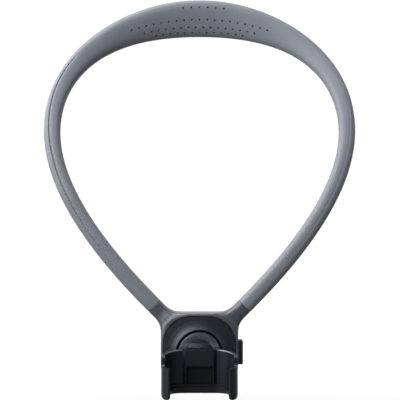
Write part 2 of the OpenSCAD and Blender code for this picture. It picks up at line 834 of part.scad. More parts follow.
housing_head_r = 2.2;
housing_head_h = 1.3;
head_room = 0.3;
module back_cover() {
    color("#2c2d32")
        from_hub()
            difference() {
                slab(back_y, frame_t)
                    rounded(cover_w - 2 * fit, cover_h - 2 * fit, cover_r - fit);
                for (p = housing_places) {
                    rod(p, housing_screw_r + fit, back_y - over, frame_t + over);
                    rod(p, housing_head_r + head_room, frame_t - housing_head_h - fit, frame_t + over);
                }
            }
}

module housing_screws() {
    color("#8d8f94")
        from_hub()
            for (p = housing_places)
                rear_screw(p, frame_t - housing_head_h - fit, housing_head_r, housing_head_h,
                    housing_screw_r, back_t - housing_head_h - fit + screw_bite);
}

pad_edge = 0.8;
plug_r = housing_head_r + head_room;
module chest_pad() {
    w = cover_w - 2 * chest_inset;
    h = cover_h - 2 * chest_inset;
    color("#3f4046")
        from_hub()
            difference() {
                union() {
                    slab(frame_t, frame_t + chest_pad_t - pad_edge)
                        rounded(w, h, cover_r - chest_inset);
                    slab(frame_t, frame_t + chest_pad_t)
                        rounded(w - 2 * pad_edge, h - 2 * pad_edge, cover_r - chest_inset - pad_edge);
                }
                for (p = housing_places)
                    rod(p, plug_r, frame_t - over, frame_t + chest_pad_t + over);
            }
}

module screw_plugs() {
    color("#3f4046")
        from_hub()
            for (p = housing_places)
                rod(p, plug_r - fit, frame_t, frame_t + chest_pad_t - fit);
}

// Cradle, seen from above: a C whose rear corners are wide and whose front
// corners bend in to the two lips
cradle_back = boss_y;
cradle_front = boss_y - cradle_d;
module c_shape(w, back, front, r_back, r_front) {
    half = w / 2;
    intersection() {
        union() {
            translate([-half, front + r_front])
                square([w, back - r_back - front - r_front]);
            translate([r_back - half, front])
                square([w - 2 * r_back, back - front]);
            translate([r_front - half, front])
                square([w - 2 * r_front, back - r_back - front]);
            for (s = [-1, 1]) {
                translate([s * (half - r_back), back - r_back])
                    circle(r_back);
                translate([s * (half - r_front), front + r_front])
                    circle(r_front);
            }
        }
        translate([-half, front])
            square([w, back - front]);
    }
}

tip_r = cradle_wall / 2;
lip_gap = cradle_w - 2 * lip_in;
inner_w = cradle_w - 2 * cradle_wall;
inner_back = cradle_back - cradle_wall;
inner_front = cradle_front + cradle_wall;
inner_r = cradle_r - cradle_wall;
wall_bottom = -cradle_drop;
shoulder_drop = 1.4;
shoulder_in = 10;
shoulder_y = cradle_back - shoulder_in;
jaw_setback = 8;
upper_front = cradle_front + jaw_setback;
notch_r = 3;
lip_top = min(wall_bottom + lip_h, cradle_top - shoulder_drop - 2 * notch_r);
ledge_bottom = wall_bottom + ledge_lift;
panel_w = 17.8;
panel_bevel = 2.1;
panel_rise = 5;
panel_bottom = ledge_bottom + panel_rise;
recess_h = 11.4;
recess_w = 16.8;
recess_depth = 2.4;
recess_pad_t = 1;
lip_round = 2.2;
lip_top_round = 1.2;
tip_reach = 4.1;

module cradle_plan() {
    difference() {
        c_shape(cradle_w, cradle_back, cradle_front, cradle_r, lip_r);
        c_shape(inner_w, inner_back, inner_front, inner_r, lip_r - cradle_wall);
        translate([-lip_gap / 2 - tip_r, cradle_front - over])
            square([lip_gap + 2 * tip_r, cradle_wall + 2 * over]);
    }
    for (s = [-1, 1])
        translate([s * (lip_gap / 2 + tip_r), cradle_front + tip_r])
            circle(tip_r);
}

// What is cut from the side view: the sloping shoulder, and the step from the
// short upper jaw to the lip below it. Drawn as y and z.
module side_cut() {
    top = cradle_top - shoulder_drop;
    high = cradle_top + over;
    difference() {
        union() {
            translate([cradle_front - over, top])
                square([shoulder_y - cradle_front + over, high - top]);
            polygon([[shoulder_y - over / 2, high], [shoulder_y - over / 2, top],
                [shoulder_y, top], [inner_back, cradle_top], [inner_back, high]]);
            translate([cradle_front - over, lip_top])
                square([upper_front - cradle_front + over, high - lip_top]);
            translate([upper_front - over, top - notch_r])
                square([notch_r + over, notch_r + over]);
        }
        translate([upper_front + notch_r, top - notch_r])
            circle(notch_r);
        difference() {
            translate([upper_front - notch_r, lip_top - over])
                square([notch_r + over / 2, notch_r + over]);
            translate([upper_front - notch_r, lip_top + notch_r])
                circle(notch_r);
        }
    }
}

// A ring round the foot of the wall that stands in from it by reach
module foot_ring(reach, height) {
    translate([0, 0, ledge_bottom])
        linear_extrude(height)
            difference() {
                c_shape(cradle_w - cradle_wall, cradle_back - tip_r, cradle_front + tip_r,
                    cradle_r - tip_r, lip_r - tip_r);
                c_shape(inner_w - 2 * reach, inner_back - reach, cradle_front - lip_r - over,
                    inner_r - reach, tip_r);
            }
}

// What rounds a lip's inner corner at the height z, seen from the front
module corner_cut(z, r, way) {
    difference() {
        translate([lip_gap / 2 - over, min(z - way * r, z + way * over)])
            square([r + over, r + over]);
        translate([lip_gap / 2 + r, z - way * r])
            circle(r);
    }
}

// What rounds the wall's lower corner, seen from the front
module foot_cut() {
    difference() {
        translate([cradle_w / 2 - foot_r, wall_bottom - over])
            square([foot_r + over, foot_r + over]);
        translate([cradle_w / 2 - foot_r, wall_bottom + foot_r])
            circle(foot_r);
    }
}

module cradle_body() {
    color("#202125")
        from_hub()
            difference() {
                union() {
                    translate([0, 0, wall_bottom])
                        linear_extrude(cradle_top - wall_bottom)
                            cradle_plan();
                    // The ledge, and the step flush with the panel's face behind it
                    foot_ring(ledge_in, ledge_t);
                    foot_ring(panel_h, panel_rise);
                    // The tongue that seats in the hub's disc
                    rod([0, 0], tongue_r, tongue_y, tongue_end - run_fit);
                    intersection() {
                        rod([0, 0], tongue_r, cradle_back - tip_r, tongue_end - run_fit);
                        slab(cradle_back - tip_r, tongue_end)
                            translate([-tongue_r, -tongue_r])
                                square([tongue_d, tongue_r + cradle_top]);
                    }
                    // The raised panel
                    translate([0, 0, panel_bottom])
                        linear_extrude(cradle_top - panel_bottom)
                            polygon([[-panel_w / 2 - panel_bevel, inner_back + tip_r],
                                [-panel_w / 2 - panel_bevel, inner_back],
                                [-panel_w / 2, inner_back - panel_h],
                                [panel_w / 2, inner_back - panel_h],
                                [panel_w / 2 + panel_bevel, inner_back],
                                [panel_w / 2 + panel_bevel, inner_back + tip_r]]);
                }
                rotate([90, 0, 90])
                    linear_extrude(cradle_w + 2 * over, center = true)
                        side_cut();
                // The recess in the panel
                translate([-recess_w / 2, inner_back - panel_h - over, panel_bottom])
                    cube([recess_w, recess_depth + over, recess_h]);
                // Seats of the jaw liners
                both_sides()
                    liner(liner_t / 2, over, 0);
                rod([0, 0], hub_screw_r + run_fit, screw_tip_y - fit, 0);
                for (p = pin_places)
                    rod(p, pin_r + run_fit, tongue_end - pin_reach - fit, 0);
                // The rounded ends of the lips and the rounded foot of the wall
                both_sides()
                    slab(cradle_front - over, cradle_front + tip_reach) {
                        corner_cut(wall_bottom, lip_round, -1);
                        corner_cut(lip_top, lip_top_round, 1);
                    }
                both_sides()
                    slab(cradle_front - over, cradle_back + over)
                        foot_cut();
            }
}

// A liner on the right jaw, sunk by half its thickness. It follows the wall from
// the jaw round into the rear corner.
liner_front_in = 0.8;
liner_back_in = 6;
liner_y0 = upper_front + liner_front_in;
liner_y1 = cradle_back - liner_back_in;
liner_z0 = panel_bottom;
liner_z1 = cradle_top - shoulder_drop - notch_r;
module liner(sunk, proud, gap) {
    translate([0, 0, liner_z0 + gap])
        linear_extrude(liner_z1 - liner_z0 - 2 * gap)
            intersection() {
                difference() {
                    c_shape(inner_w + 2 * sunk, inner_back + sunk, inner_front - sunk,
                        inner_r + sunk, lip_r - cradle_wall + sunk);
                    c_shape(inner_w - 2 * proud, inner_back - proud, inner_front + proud,
                        inner_r - proud, lip_r - cradle_wall - proud);
                }
                translate([0, liner_y0 + gap])
                    square([cradle_w, liner_y1 - liner_y0 - 2 * gap]);
            }
}

module right_jaw_liner() {
    color("#3a3c41")
        from_hub()
            liner(liner_t / 2 - run_fit, liner_t / 2, run_fit);
}

module left_jaw_liner() {
    color("#3a3c41")
        from_hub()
            mirror([1, 0, 0])
                liner(liner_t / 2 - run_fit, liner_t / 2, run_fit);
}

module recess_pad() {
    y0 = inner_back - panel_h + recess_depth;
    color("#121316")
        from_hub()
            translate([-recess_w / 2 + fit, y0 - recess_pad_t, panel_bottom + fit])
                cube([recess_w - 2 * fit, recess_pad_t - run_fit, recess_h - 2 * fit]);
}

loop_sleeve();
loop_core();
nape_cushion();
yoke_frame();
core_clamps();
clamp_screws();
front_cover();
socket_bush();
swivel_disc();
friction_ring();
hub_screw();
locating_pins();
latch_slide();
release_button();
latch_springs();
latch_keeper();
keeper_screws();
back_cover();
housing_screws();
chest_pad();
screw_plugs();
cradle_body();
left_jaw_liner();
right_jaw_liner();
recess_pad();
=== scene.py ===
# %% [markdown]
# # A neck mount for a small camera
#
# A loop of grey silicone hangs round the neck. Its two arms plug on to the horns of a
# rounded housing that rests on the chest. A hub turns in the housing and carries an open
# black cradle, and a button on the side frees the hub.
#
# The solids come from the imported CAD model, in metres: +Z is up, -Y is the front. This
# notebook keeps the solids whose shape is right, gives them real finishes, and makes new
# pieces where the real thing is soft or has rounded edges that the solids leave out. Sizes
# of the object are in millimetres until MM turns them into metres, as the studio's are.

# %% The CAD frame
import bisect
import math

import bmesh
import bpy
from mathutils import Matrix, Vector


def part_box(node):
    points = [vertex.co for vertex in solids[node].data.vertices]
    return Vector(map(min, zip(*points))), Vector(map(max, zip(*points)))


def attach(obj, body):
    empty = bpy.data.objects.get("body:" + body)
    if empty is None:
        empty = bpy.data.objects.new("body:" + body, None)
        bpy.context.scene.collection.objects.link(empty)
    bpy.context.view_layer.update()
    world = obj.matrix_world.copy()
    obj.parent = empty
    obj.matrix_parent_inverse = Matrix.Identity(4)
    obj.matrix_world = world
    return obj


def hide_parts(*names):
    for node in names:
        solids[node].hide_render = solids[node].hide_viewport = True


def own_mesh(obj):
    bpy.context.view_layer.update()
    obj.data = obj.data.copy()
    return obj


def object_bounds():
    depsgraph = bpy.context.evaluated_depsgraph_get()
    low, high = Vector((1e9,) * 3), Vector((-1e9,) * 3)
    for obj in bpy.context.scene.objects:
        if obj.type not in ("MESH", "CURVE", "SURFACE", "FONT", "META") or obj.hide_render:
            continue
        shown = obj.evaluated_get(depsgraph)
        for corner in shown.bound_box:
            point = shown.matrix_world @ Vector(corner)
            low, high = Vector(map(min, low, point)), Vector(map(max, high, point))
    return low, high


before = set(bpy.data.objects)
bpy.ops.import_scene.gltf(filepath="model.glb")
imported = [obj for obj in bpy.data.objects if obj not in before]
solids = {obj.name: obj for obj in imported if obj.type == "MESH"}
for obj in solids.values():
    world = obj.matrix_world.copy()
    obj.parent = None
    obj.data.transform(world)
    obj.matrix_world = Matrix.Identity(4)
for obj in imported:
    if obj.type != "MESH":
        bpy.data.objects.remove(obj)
cad_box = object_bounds()
MM = 0.001
print("CAD nodes:", len(solids), "box:", [list(corner) for corner in cad_box])

# %% [markdown]
# ## The camera
#
# The photograph looks straight at the housing from about 0.7 m, with a lens that sees 21
# degrees. The hub's axis gives the camera its place: the lens is level and stands 98 mm
# above it, which is why the cradle's foot touches the lower edge of the picture.

# %% Camera
hub_low, hub_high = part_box("swivel_disc")
hub = Vector(((hub_low.x + hub_high.x) / 2, 0, (hub_low.z + hub_high.z) / 2))
front_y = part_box("yoke_frame")[0].y
VIEW_DISTANCE = 0.7
LENS_ABOVE_HUB = 98.2 * MM
LENS_ASIDE = 0.3 * MM
FOCAL_PIXELS = 1093.75
PICTURE_PIXELS = 400
SENSOR = 36

bpy.ops.object.select_all(action="DESELECT")
bpy.ops.object.camera_add(
    location=(hub.x + LENS_ASIDE, front_y - VIEW_DISTANCE, hub.z + LENS_ABOVE_HUB),
    rotation=(math.pi / 2, 0, 0),
)
camera = bpy.context.object
camera.name = "photo_camera"
camera.data.sensor_width = SENSOR
camera.data.lens = SENSOR * FOCAL_PIXELS / PICTURE_PIXELS
bpy.context.scene.camera = camera
bpy.context.scene.view_settings.view_transform = "Standard"
print("camera at", list(camera.location), "lens", camera.data.lens)

# %% [markdown]
# ## Three small tools
#
# Blender's shaders work in linear light, while a colour is usually written as an sRGB hex
# number, so one function turns the one into the other. Another adds a shader node, sets
# its values and links what feeds it, and the third makes an empty material.


# %% Colour and node helpers
def colour(code):
    """A linear RGBA colour from an sRGB hex code such as 7c7f88."""
    parts = [int(code[k : k + 2], 16) / 255 for k in (0, 2, 4)]
    linear = [p / 12.92 if p <= 0.04045 else ((p + 0.055) / 1.055) ** 2.4 for p in parts]
    return (*linear, 1)


def add(tree, kind, inputs=None, **settings):
    """Adds a shader node, with its settings, and values or links for its inputs."""
    made = tree.nodes.new("ShaderNode" + kind)
    for name, value in settings.items():
        setattr(made, name, value)
    for name, value in (inputs or {}).items():
        if isinstance(value, bpy.types.NodeSocket):
            tree.links.new(value, made.inputs[name])
        else:
            made.inputs[name].default_value = value
    return made


def blank(name):
    """A new material with no nodes yet."""
    made = bpy.data.materials.new(name)
    made.use_nodes = True
    made.node_tree.nodes.clear()
    return made


# %% [markdown]
# ## The studio
#
# The photograph is a cut-out on white. A pale sweep stands in for it: one plane whose rear
# edge is pulled up into a wall, with a soft bend between them. The camera sees white all
# round, and so do reflections that look back at the wall. The room behind the camera is
# dim, as a studio is, so that black mouldings stay black and only their edges catch light.


# %% Selecting by a rule
def select_only(kind, wanted):
    """In edit mode, selects the edges or faces that a rule wants, and nothing else."""
    bpy.ops.mesh.select_mode(type=kind)
    bpy.ops.mesh.select_all(action="DESELECT")
    cage = bmesh.from_edit_mesh(bpy.context.object.data)
    for item in cage.edges if kind == "EDGE" else cage.faces:
        item.select_set(wanted(item))


# %% Floor and backdrop
FLOOR_DROP = 0.12
FLOOR_SIZE = 7
WALL_HEIGHT = 3.5
BEND, BEND_SEGMENTS = 1.0, 16

bpy.ops.object.select_all(action="DESELECT")
floor_z = cad_box[0][2] - FLOOR_DROP
bpy.ops.mesh.primitive_plane_add(size=FLOOR_SIZE, location=(0, 0, floor_z))
floor = bpy.context.object
floor.name = "studio_floor"
bpy.ops.object.mode_set(mode="EDIT")
select_only("EDGE", lambda edge: all(v.co.y > 0 for v in edge.verts))
bpy.ops.mesh.extrude_region_move(TRANSFORM_OT_translate={"value": (0, 0, WALL_HEIGHT)})
select_only("EDGE", lambda edge: all(v.co.y > 0 and v.co.z < BEND for v in edge.verts))
bpy.ops.mesh.bevel(offset=BEND, segments=BEND_SEGMENTS)
bpy.ops.object.mode_set(mode="OBJECT")
bpy.ops.object.shade_smooth()
print("floor at", round(floor_z, 4), "faces", len(floor.data.polygons))

# %% [markdown]
# ## White for the eye, dim for the light
#
# White paper all round would light the object from every side and wash out its black. So
# the background asks what kind of ray meets it: the camera sees white, mirrored rays see
# white behind the object and a dim room in front, and scattered light gets a weak fill.

# %% Levels of the background
# The dim room, the fill, how softly the room turns white, and where the world is white
ROOM_LEVEL = 0.08
FILL_LEVEL = 0.12
FADE = 0.7
BRIGHT_SIDE = (-0.03, 0.8, 0.4)


def background_level(tree, rearward, start, near_level, diffuse_level):
    """White for the camera and for rays that look back, dim for the rest."""
    ray = add(tree, "LightPath")
    mirrored = add(
        tree,
        "Math",
        {0: ray.outputs["Is Glossy Ray"], 1: ray.outputs["Is Transmission Ray"]},
        operation="MAXIMUM",
    )
    levels = {"From Min": start, "From Max": start + FADE, "To Min": ROOM_LEVEL, "To Max": 1.0}
    behind = add(tree, "MapRange", {"Value": rearward, **levels})
    unseen = add(
        tree,
        "MapRange",
        {"Value": mirrored.outputs[0], "To Min": diffuse_level, "To Max": behind.outputs[0]},
    )
    return add(
        tree,
        "MapRange",
        {
            "Value": ray.outputs["Is Camera Ray"],
            "To Min": unseen.outputs[0],
            "To Max": near_level,
        },
    )


print("room", ROOM_LEVEL, "fill", FILL_LEVEL)

# %% Floor material
# Matt paper with a glow that only the eye and mirrors see. Near the object the glow is
# lower, so that the object's shadow shows on the floor.
NEAR, FAR, NEAR_LEVEL = 0.45, 0.8, 0.7
WALL_START, SKY_START = 0.1, -0.2
paper = blank("studio_paper")
tree = paper.node_tree
place = add(tree, "TexCoord")
away = add(tree, "VectorMath", {0: place.outputs["Object"]}, operation="LENGTH")
split = add(tree, "SeparateXYZ", {0: place.outputs["Object"]})
levels = {"From Min": NEAR, "From Max": FAR, "To Min": NEAR_LEVEL, "To Max": 1.0}
white = add(tree, "MapRange", {"Value": away.outputs["Value"], **levels})
level = background_level(tree, split.outputs["Y"], WALL_START, white.outputs[0], 0.0)
matt = add(tree, "BsdfDiffuse", {"Color": colour("747474")})
glow = add(tree, "Emission", {"Color": colour("ffffff"), "Strength": level.outputs[0]})
both = add(tree, "AddShader", {0: matt.outputs[0], 1: glow.outputs[0]})
add(tree, "OutputMaterial", {"Surface": both.outputs[0]})
floor.data.materials.append(paper)

# %% World
world = bpy.data.worlds.new("studio_world")
bpy.context.scene.world = world
world.use_nodes = True
tree = world.node_tree
tree.nodes.clear()
place = add(tree, "TexCoord")
rearward = add(
    tree, "VectorMath", {0: place.outputs["Generated"], 1: BRIGHT_SIDE}, operation="DOT_PRODUCT"
)
level = background_level(tree, rearward.outputs["Value"], SKY_START, 1.0, FILL_LEVEL)
sky = add(tree, "Background", {"Color": colour("ffffff"), "Strength": level.outputs[0]})
add(tree, "OutputWorld", {"Surface": sky.outputs[0]})
print("studio materials made")

# %% [markdown]
# ## Soft boxes
#
# The photograph's light is large and soft and comes from the left and above: left flanks
# have broad pale bands, right ones only thin lines. Five square area lamps do the same, all
# aimed at the object's middle and kept so weak that a grey renders about as it is written.


# %% Lamps
def lamp(name, place, size, watts):
    """A square soft box at a place, turned to face the middle of the object."""
    bpy.ops.object.light_add(type="AREA", location=place)
    made = bpy.context.object
    made.name = name
    made.data.size = size
    made.data.energy = watts
    aim = (Vector(cad_box[0]) + Vector(cad_box[1])) / 2
    made.rotation_euler = (aim - Vector(place)).to_track_quat("-Z", "Y").to_euler()
    return made


# Each lamp's place and side in metres, and its watts
lamp("key_left", (-0.8, -1.0, 0.8), 0.9, 10.5)
lamp("side_left", (-1.25, -0.7, 0.35), 0.8, 9.5)
lamp("side_right", (1.25, -0.6, 0.4), 0.8, 2)
lamp("top", (-0.4, -0.15, 1.4), 0.8, 12)
lamp("back_left", (-1.15, 0.0, 0.8), 1.3, 14)

# %% [markdown]
# ## Finishes
#
# Every finish starts from the real stuff: moulded silicone for the loop, fine-grained ABS
# for the housing and the cradle, acetal for the hub, rubber for the pads, steel for what is
# hidden. Patterns read Object coordinates in millimetres, so a grain of 0.3 mm is 0.3 mm.
# A real moulded grain is nearer 0.05 mm. It is drawn coarser, as is the brushing of the
# metals, because a pixel of the picture covers 0.64 mm of the housing.

# %% Shares of the patterns
# A noise stays near its middle, so that part of it is spread over the full range. The tone
# drifts over CLOUD_MM, the grain specks it, and the roughness varies by the last two.
NOISE = {"Detail": 2.0, "Roughness": 0.5}
MIDDLE = {"From Min": 0.3, "From Max": 0.7}
CLOUD_MM = 18
SPECK = 0.06
UNEVEN_GLOSS, UNEVEN_METAL = 0.05, 0.08


# %% Moulded finish
def moulded(name, code, rough, grain_mm, grain_depth_mm, drift=0.06, gloss=0.25, sheen=0.0):
    """A moulded plastic or rubber: fine grain, uneven gloss and a slight drift in tone."""
    made = blank(name)
    tree = made.node_tree
    place = add(tree, "TexCoord")
    millimetres = add(
        tree, "Mapping", {"Vector": place.outputs["Object"], "Scale": (1000, 1000, 1000)}
    )
    where = millimetres.outputs[0]
    grain = add(tree, "TexNoise", {"Vector": where, "Scale": 1 / grain_mm, **NOISE})
    cloud = add(tree, "TexNoise", {"Vector": where, "Scale": 1 / CLOUD_MM, **NOISE})
    tone = add(
        tree,
        "MapRange",
        {"Value": cloud.outputs["Fac"], **MIDDLE, "To Min": 1 - drift, "To Max": 1 + drift},
    )
    speck = add(
        tree,
        "MapRange",
        {"Value": grain.outputs["Fac"], **MIDDLE, "To Min": 1 - SPECK, "To Max": 1 + SPECK},
    )
    shade = add(tree, "Math", {0: tone.outputs[0], 1: speck.outputs[0]}, operation="MULTIPLY")
    tint = add(
        tree, "VectorMath", {0: colour(code)[:3], "Scale": shade.outputs[0]}, operation="SCALE"
    )
    rough_range = {"To Min": rough - UNEVEN_GLOSS, "To Max": rough + UNEVEN_GLOSS}
    dull = add(tree, "MapRange", {"Value": grain.outputs["Fac"], **MIDDLE, **rough_range})
    bump = add(
        tree,
        "Bump",
        {"Height": grain.outputs["Fac"], "Strength": 1.0, "Distance": grain_depth_mm * MM},
    )
    skin = add(
        tree,
        "BsdfPrincipled",
        {
            "Base Color": tint.outputs[0],
            "Roughness": dull.outputs[0],
            "Normal": bump.outputs[0],
            "Specular IOR Level": gloss,
            "Sheen Weight": sheen,
            "Sheen Roughness": 0.5,
        },
    )
    add(tree, "OutputMaterial", {"Surface": skin.outputs[0]})
    return made


def metal(name, code, rough, brush_mm):
    """A plain metal with fine lines from rolling or turning, ten times longer in X."""
    made = blank(name)
    tree = made.node_tree
    place = add(tree, "TexCoord")
    lines = add(
        tree, "Mapping", {"Vector": place.outputs["Object"], "Scale": (100, 1000, 1000)}
    )
    brush = add(
        tree, "TexNoise", {"Vector": lines.outputs[0], "Scale": 1 / brush_mm, "Detail": 3.0}
    )
    rough_range = {"To Min": rough - UNEVEN_METAL, "To Max": rough + UNEVEN_METAL}
    dull = add(tree, "MapRange", {"Value": brush.outputs["Fac"], **MIDDLE, **rough_range})
    bump = add(
        tree, "Bump", {"Height": brush.outputs["Fac"], "Strength": 0.5, "Distance": 0.01 * MM}
    )
    skin = add(
        tree,
        "BsdfPrincipled",
        {
            "Base Color": colour(code),
            "Metallic": 1.0,
            "Roughness": dull.outputs[0],
            "Normal": bump.outputs[0],
        },
    )
    add(tree, "OutputMaterial", {"Surface": skin.outputs[0]})
    return made


# %% The finishes
# Moulded silicone is matt, and a faint bloom of dust lightens its turning edges
silicone = moulded("moulded_silicone", "81868f", 0.5, 0.35, 0.006, gloss=0.45, sheen=0.08)
# Grained ABS in dark grey has a broad, soft gloss along its rounds
housing_abs = moulded("grained_abs_grey", "4b4e59", 0.36, 0.3, 0.008, gloss=0.8)
# In black it is a little blue, and duller, so the cover's flare shades gently
cover_abs = moulded("grained_abs_black", "1a1e29", 0.45, 0.3, 0.015, gloss=0.55)
# Turned acetal is waxy, and its gloss draws the band on the hub's crown
hub_acetal = moulded("acetal_black", "454951", 0.34, 0.25, 0.012, gloss=0.75)
# The cradle's black ABS stays deep on flat faces, with short highlights
cradle_abs = moulded("grained_abs_cradle", "14171e", 0.38, 0.3, 0.01, gloss=0.5)
# The cradle's rounded edges are glossier, and their paler colour is a painted highlight: they
# draw bright lines
cradle_edge_highlight = moulded("abs_edge_painted_highlight", "52565f", 0.34, 0.3, 0.006, gloss=1.0)
# The button's ABS is a greyer black, with a deeper grain for the finger
button_abs = moulded("grained_abs_button", "3c3d42", 0.45, 0.3, 0.02, gloss=0.5)
# Moulded rubber is nearly black and takes up most light
soft_rubber = moulded("moulded_rubber", "131418", 0.75, 0.4, 0.04)
# Foam has coarse pores and little gloss, and shows as a dull grey down in the vents
foam_pu = moulded("polyurethane_foam", "3f4045", 0.9, 0.6, 0.2)
# Three metals inside: bright drawn steel, paler rolled strip and yellow turned brass
steel = metal("bright_steel", "b9babd", 0.32, 0.3)
strip_aluminium = metal("rolled_aluminium", "c9cbce", 0.38, 0.3)
bush_brass = metal("turned_brass", "c9a65a", 0.3, 0.3)
print("materials:", [m.name for m in bpy.data.materials])

# %% [markdown]
# ## Solids that stay
#
# Screws, pins, strip, bush and latch lie inside or under plugs, and no round of theirs
# shows. Their solids have the right shape, so they only change their material.

# %% Finishes of the CAD nodes
node_finish = {
    "loop_core": strip_aluminium,
    "core_clamps": steel,
    "clamp_screws": steel,
    "socket_bush": bush_brass,
    "hub_screw": steel,
    "locating_pins": steel,
    "latch_slide": steel,
    "latch_keeper": cover_abs,
    "keeper_screws": steel,
    "housing_screws": steel,
}
for name, finish in node_finish.items():
    solids[name].data.materials.clear()
    solids[name].data.materials.append(finish)
print("finished nodes:", len(node_finish))

# %% [markdown]
# ## The loop's route
#
# Each half of the loop is two smooth curves that meet where the loop is widest. The same
# few shares that draw the solid draw it here: where the curves' handles stand, how wide the
# band is, how far it leans and how it swells to the pad at the nape. Distances along the
# loop are counted from the nape, to the left as minus and to the right as plus.

# %% Route of the loop
LOOP_HALF_W = 98.3
LOOP_RISE = 195.9
NAPE_BACK = 60.3
FOOT_X, FOOT_Y, FOOT_Z = 29.1, 8.0, 29.6
NAPE_PULL, SHOULDER_PULL, ARM_PULL, FOOT_PULL = 0.51, 0.26, 0.21, 0.24
WIDEST = 0.6
ROUTE_STEPS = 300


def from_hub(x, y, z):
    """A point given in millimetres from the hub's axis and the housing's front."""
    return Vector((x * MM, front_y + y * MM, hub.z + z * MM))


def bezier(a, b, c, d, t):
    """A point of the cubic curve with the ends a and d and the handles b and c."""
    return a * (1 - t) ** 3 + b * 3 * t * (1 - t) ** 2 + c * 3 * t * t * (1 - t) + d * t**3


nape_z = FOOT_Z + LOOP_RISE
widest_z = FOOT_Z + WIDEST * LOOP_RISE
diagonal = Vector((1, 1)).normalized()
nape_curve = [
    Vector((0, nape_z)),
    Vector((NAPE_PULL * LOOP_HALF_W, nape_z)),
    Vector((LOOP_HALF_W, widest_z + SHOULDER_PULL * LOOP_RISE)),
    Vector((LOOP_HALF_W, widest_z)),
]
arm_curve = [
    Vector((LOOP_HALF_W, widest_z)),
    Vector((LOOP_HALF_W, widest_z - ARM_PULL * LOOP_RISE)),
    Vector((FOOT_X, FOOT_Z)) + FOOT_PULL * LOOP_RISE * diagonal,
    Vector((FOOT_X, FOOT_Z)),
]
flat_route = [bezier(*nape_curve, k / ROUTE_STEPS) for k in range(ROUTE_STEPS)]
flat_route += [bezier(*arm_curve, k / ROUTE_STEPS) for k in range(ROUTE_STEPS + 1)]
route = [
    from_hub(p.x, FOOT_Y + NAPE_BACK * ((p.y - FOOT_Z) / LOOP_RISE) ** 2, p.y)
    for p in flat_route
]
travelled = [0.0]
for before, after in zip(route, route[1:]):
    travelled.append(travelled[-1] + (after - before).length)
half_length = travelled[-1]
print("half of the loop is", round(half_length / MM, 1), "mm long")

# %% [markdown]
# Across its route the band is a squared oval. One bell-shaped curve over the distance from
# the nape widens it to the pad and leans the pad to the neck, so nothing starts abruptly.


# %% Sections of the loop
ARM_W, ARM_T = 10.7, 9.4
PAD_W, PAD_T = 25.8, 11.0
PAD_SPREAD = 0.27
PAD_LEAN = math.radians(10)
ROUNDNESS = 2.6


def route_at(distance):
    """The point and the direction of the route at a signed distance from the nape."""
    away = min(abs(distance), half_length)
    k = min(bisect.bisect_right(travelled, away), len(route) - 1)
    part = (away - travelled[k - 1]) / (travelled[k] - travelled[k - 1])
    point = route[k - 1].lerp(route[k], part)
    low, high = max(k - 2, 0), min(k + 1, len(route) - 1)
    way = (route[high] - route[low]).normalized()
    if distance < 0:
        point.x, way.y, way.z = -point.x, -way.y, -way.z
    return point, way


def bell(distance):
    """How far the band has swollen to the pad, from 1 at the nape to 0 on the arms."""
    return math.exp(-((distance / half_length / PAD_SPREAD) ** 2))


def band_axes(distance):
    """The point, the outward direction and the forward direction of the band."""
    point, way = route_at(distance)
    outward = way.cross(Vector((0, 1, 0))).normalized()
    forward = way.cross(outward)
    lean = PAD_LEAN * bell(distance)
    broad = outward * math.cos(lean) + forward * math.sin(lean)
    front = forward * math.cos(lean) - outward * math.sin(lean)
    return point, broad, front


def band_halves(distance):
    """Half the width and half the thickness of the band, in metres."""
    swollen = bell(distance)
    wide = (ARM_W + (PAD_W - ARM_W) * swollen) / 2
    thick = (ARM_T + (PAD_T - ARM_T) * swollen) / 2
    return wide * MM, thick * MM


def squared(value, power):
    """Makes a circle's sine or cosine into that of a squarer, softer oval."""
    return math.copysign(abs(value) ** (2 / power), value)


def oval_point(distance, degrees, halves, power, dip=0.0):
    """A point on the band's oval, by its angle from the outer edge towards the front."""
    point, broad, front = band_axes(distance)
    turn = math.radians(degrees)
    across = halves[0] * squared(math.cos(turn), power)
    along = halves[1] * squared(math.sin(turn), power) - dip
    return point + broad * across + front * along


print("pad at the nape:", [round(2 * v / MM, 1) for v in band_halves(0)])

# %% [markdown]
# ## The silicone sleeve
#
# The real sleeve is moulded in one piece over a bendable strip: thin round arms, a broad
# flat pad at the nape, a fine groove along each arm and four rows of vents over the foam.
# A curve with a bevel could only scale one section, and here width and thickness change
# apart. So a ring is extruded from station to station, as one would by hand, and each new
# ring is laid on the section that the formula gives. Subdivision then makes it smooth.


# %% Sweep along the loop
def alone(obj):
    """Deselects everything, then selects and activates one object."""
    bpy.ops.object.select_all(action="DESELECT")
    obj.select_set(True)
    bpy.context.view_layer.objects.active = obj


def sweep(name, stations, count, place):
    """Extrudes a ring of count points through the stations. place gives each point."""
    bpy.ops.object.select_all(action="DESELECT")
    bpy.ops.mesh.primitive_circle_add(vertices=count, radius=ARM_W * MM)
    made = bpy.context.object
    made.name = name
    bpy.ops.object.mode_set(mode="EDIT")
    bpy.ops.mesh.select_mode(type="VERT")
    cage = bmesh.from_edit_mesh(made.data)
    turn = cage.verts.layers.int.new("turn")
    for k, corner in enumerate(cage.verts):
        corner[turn] = k
    for index, station in enumerate(stations):
        if index:
            bpy.ops.mesh.extrude_region_move()
        cage = bmesh.from_edit_mesh(made.data)
        turn = cage.verts.layers.int["turn"]
        for corner in cage.verts:
            if corner.select:
                corner.co = place(station, corner[turn])
        bmesh.update_edit_mesh(made.data)
    bpy.ops.object.mode_set(mode="OBJECT")
    return made


# %% Four helpers for finished meshes
def apply_modifier(obj, kind, **settings):
    """Adds a modifier with its settings and applies it."""
    alone(obj)
    made = obj.modifiers.new(kind.lower(), kind)
    for name, value in settings.items():
        setattr(made, name, value)
    bpy.ops.object.modifier_apply(modifier=made.name)


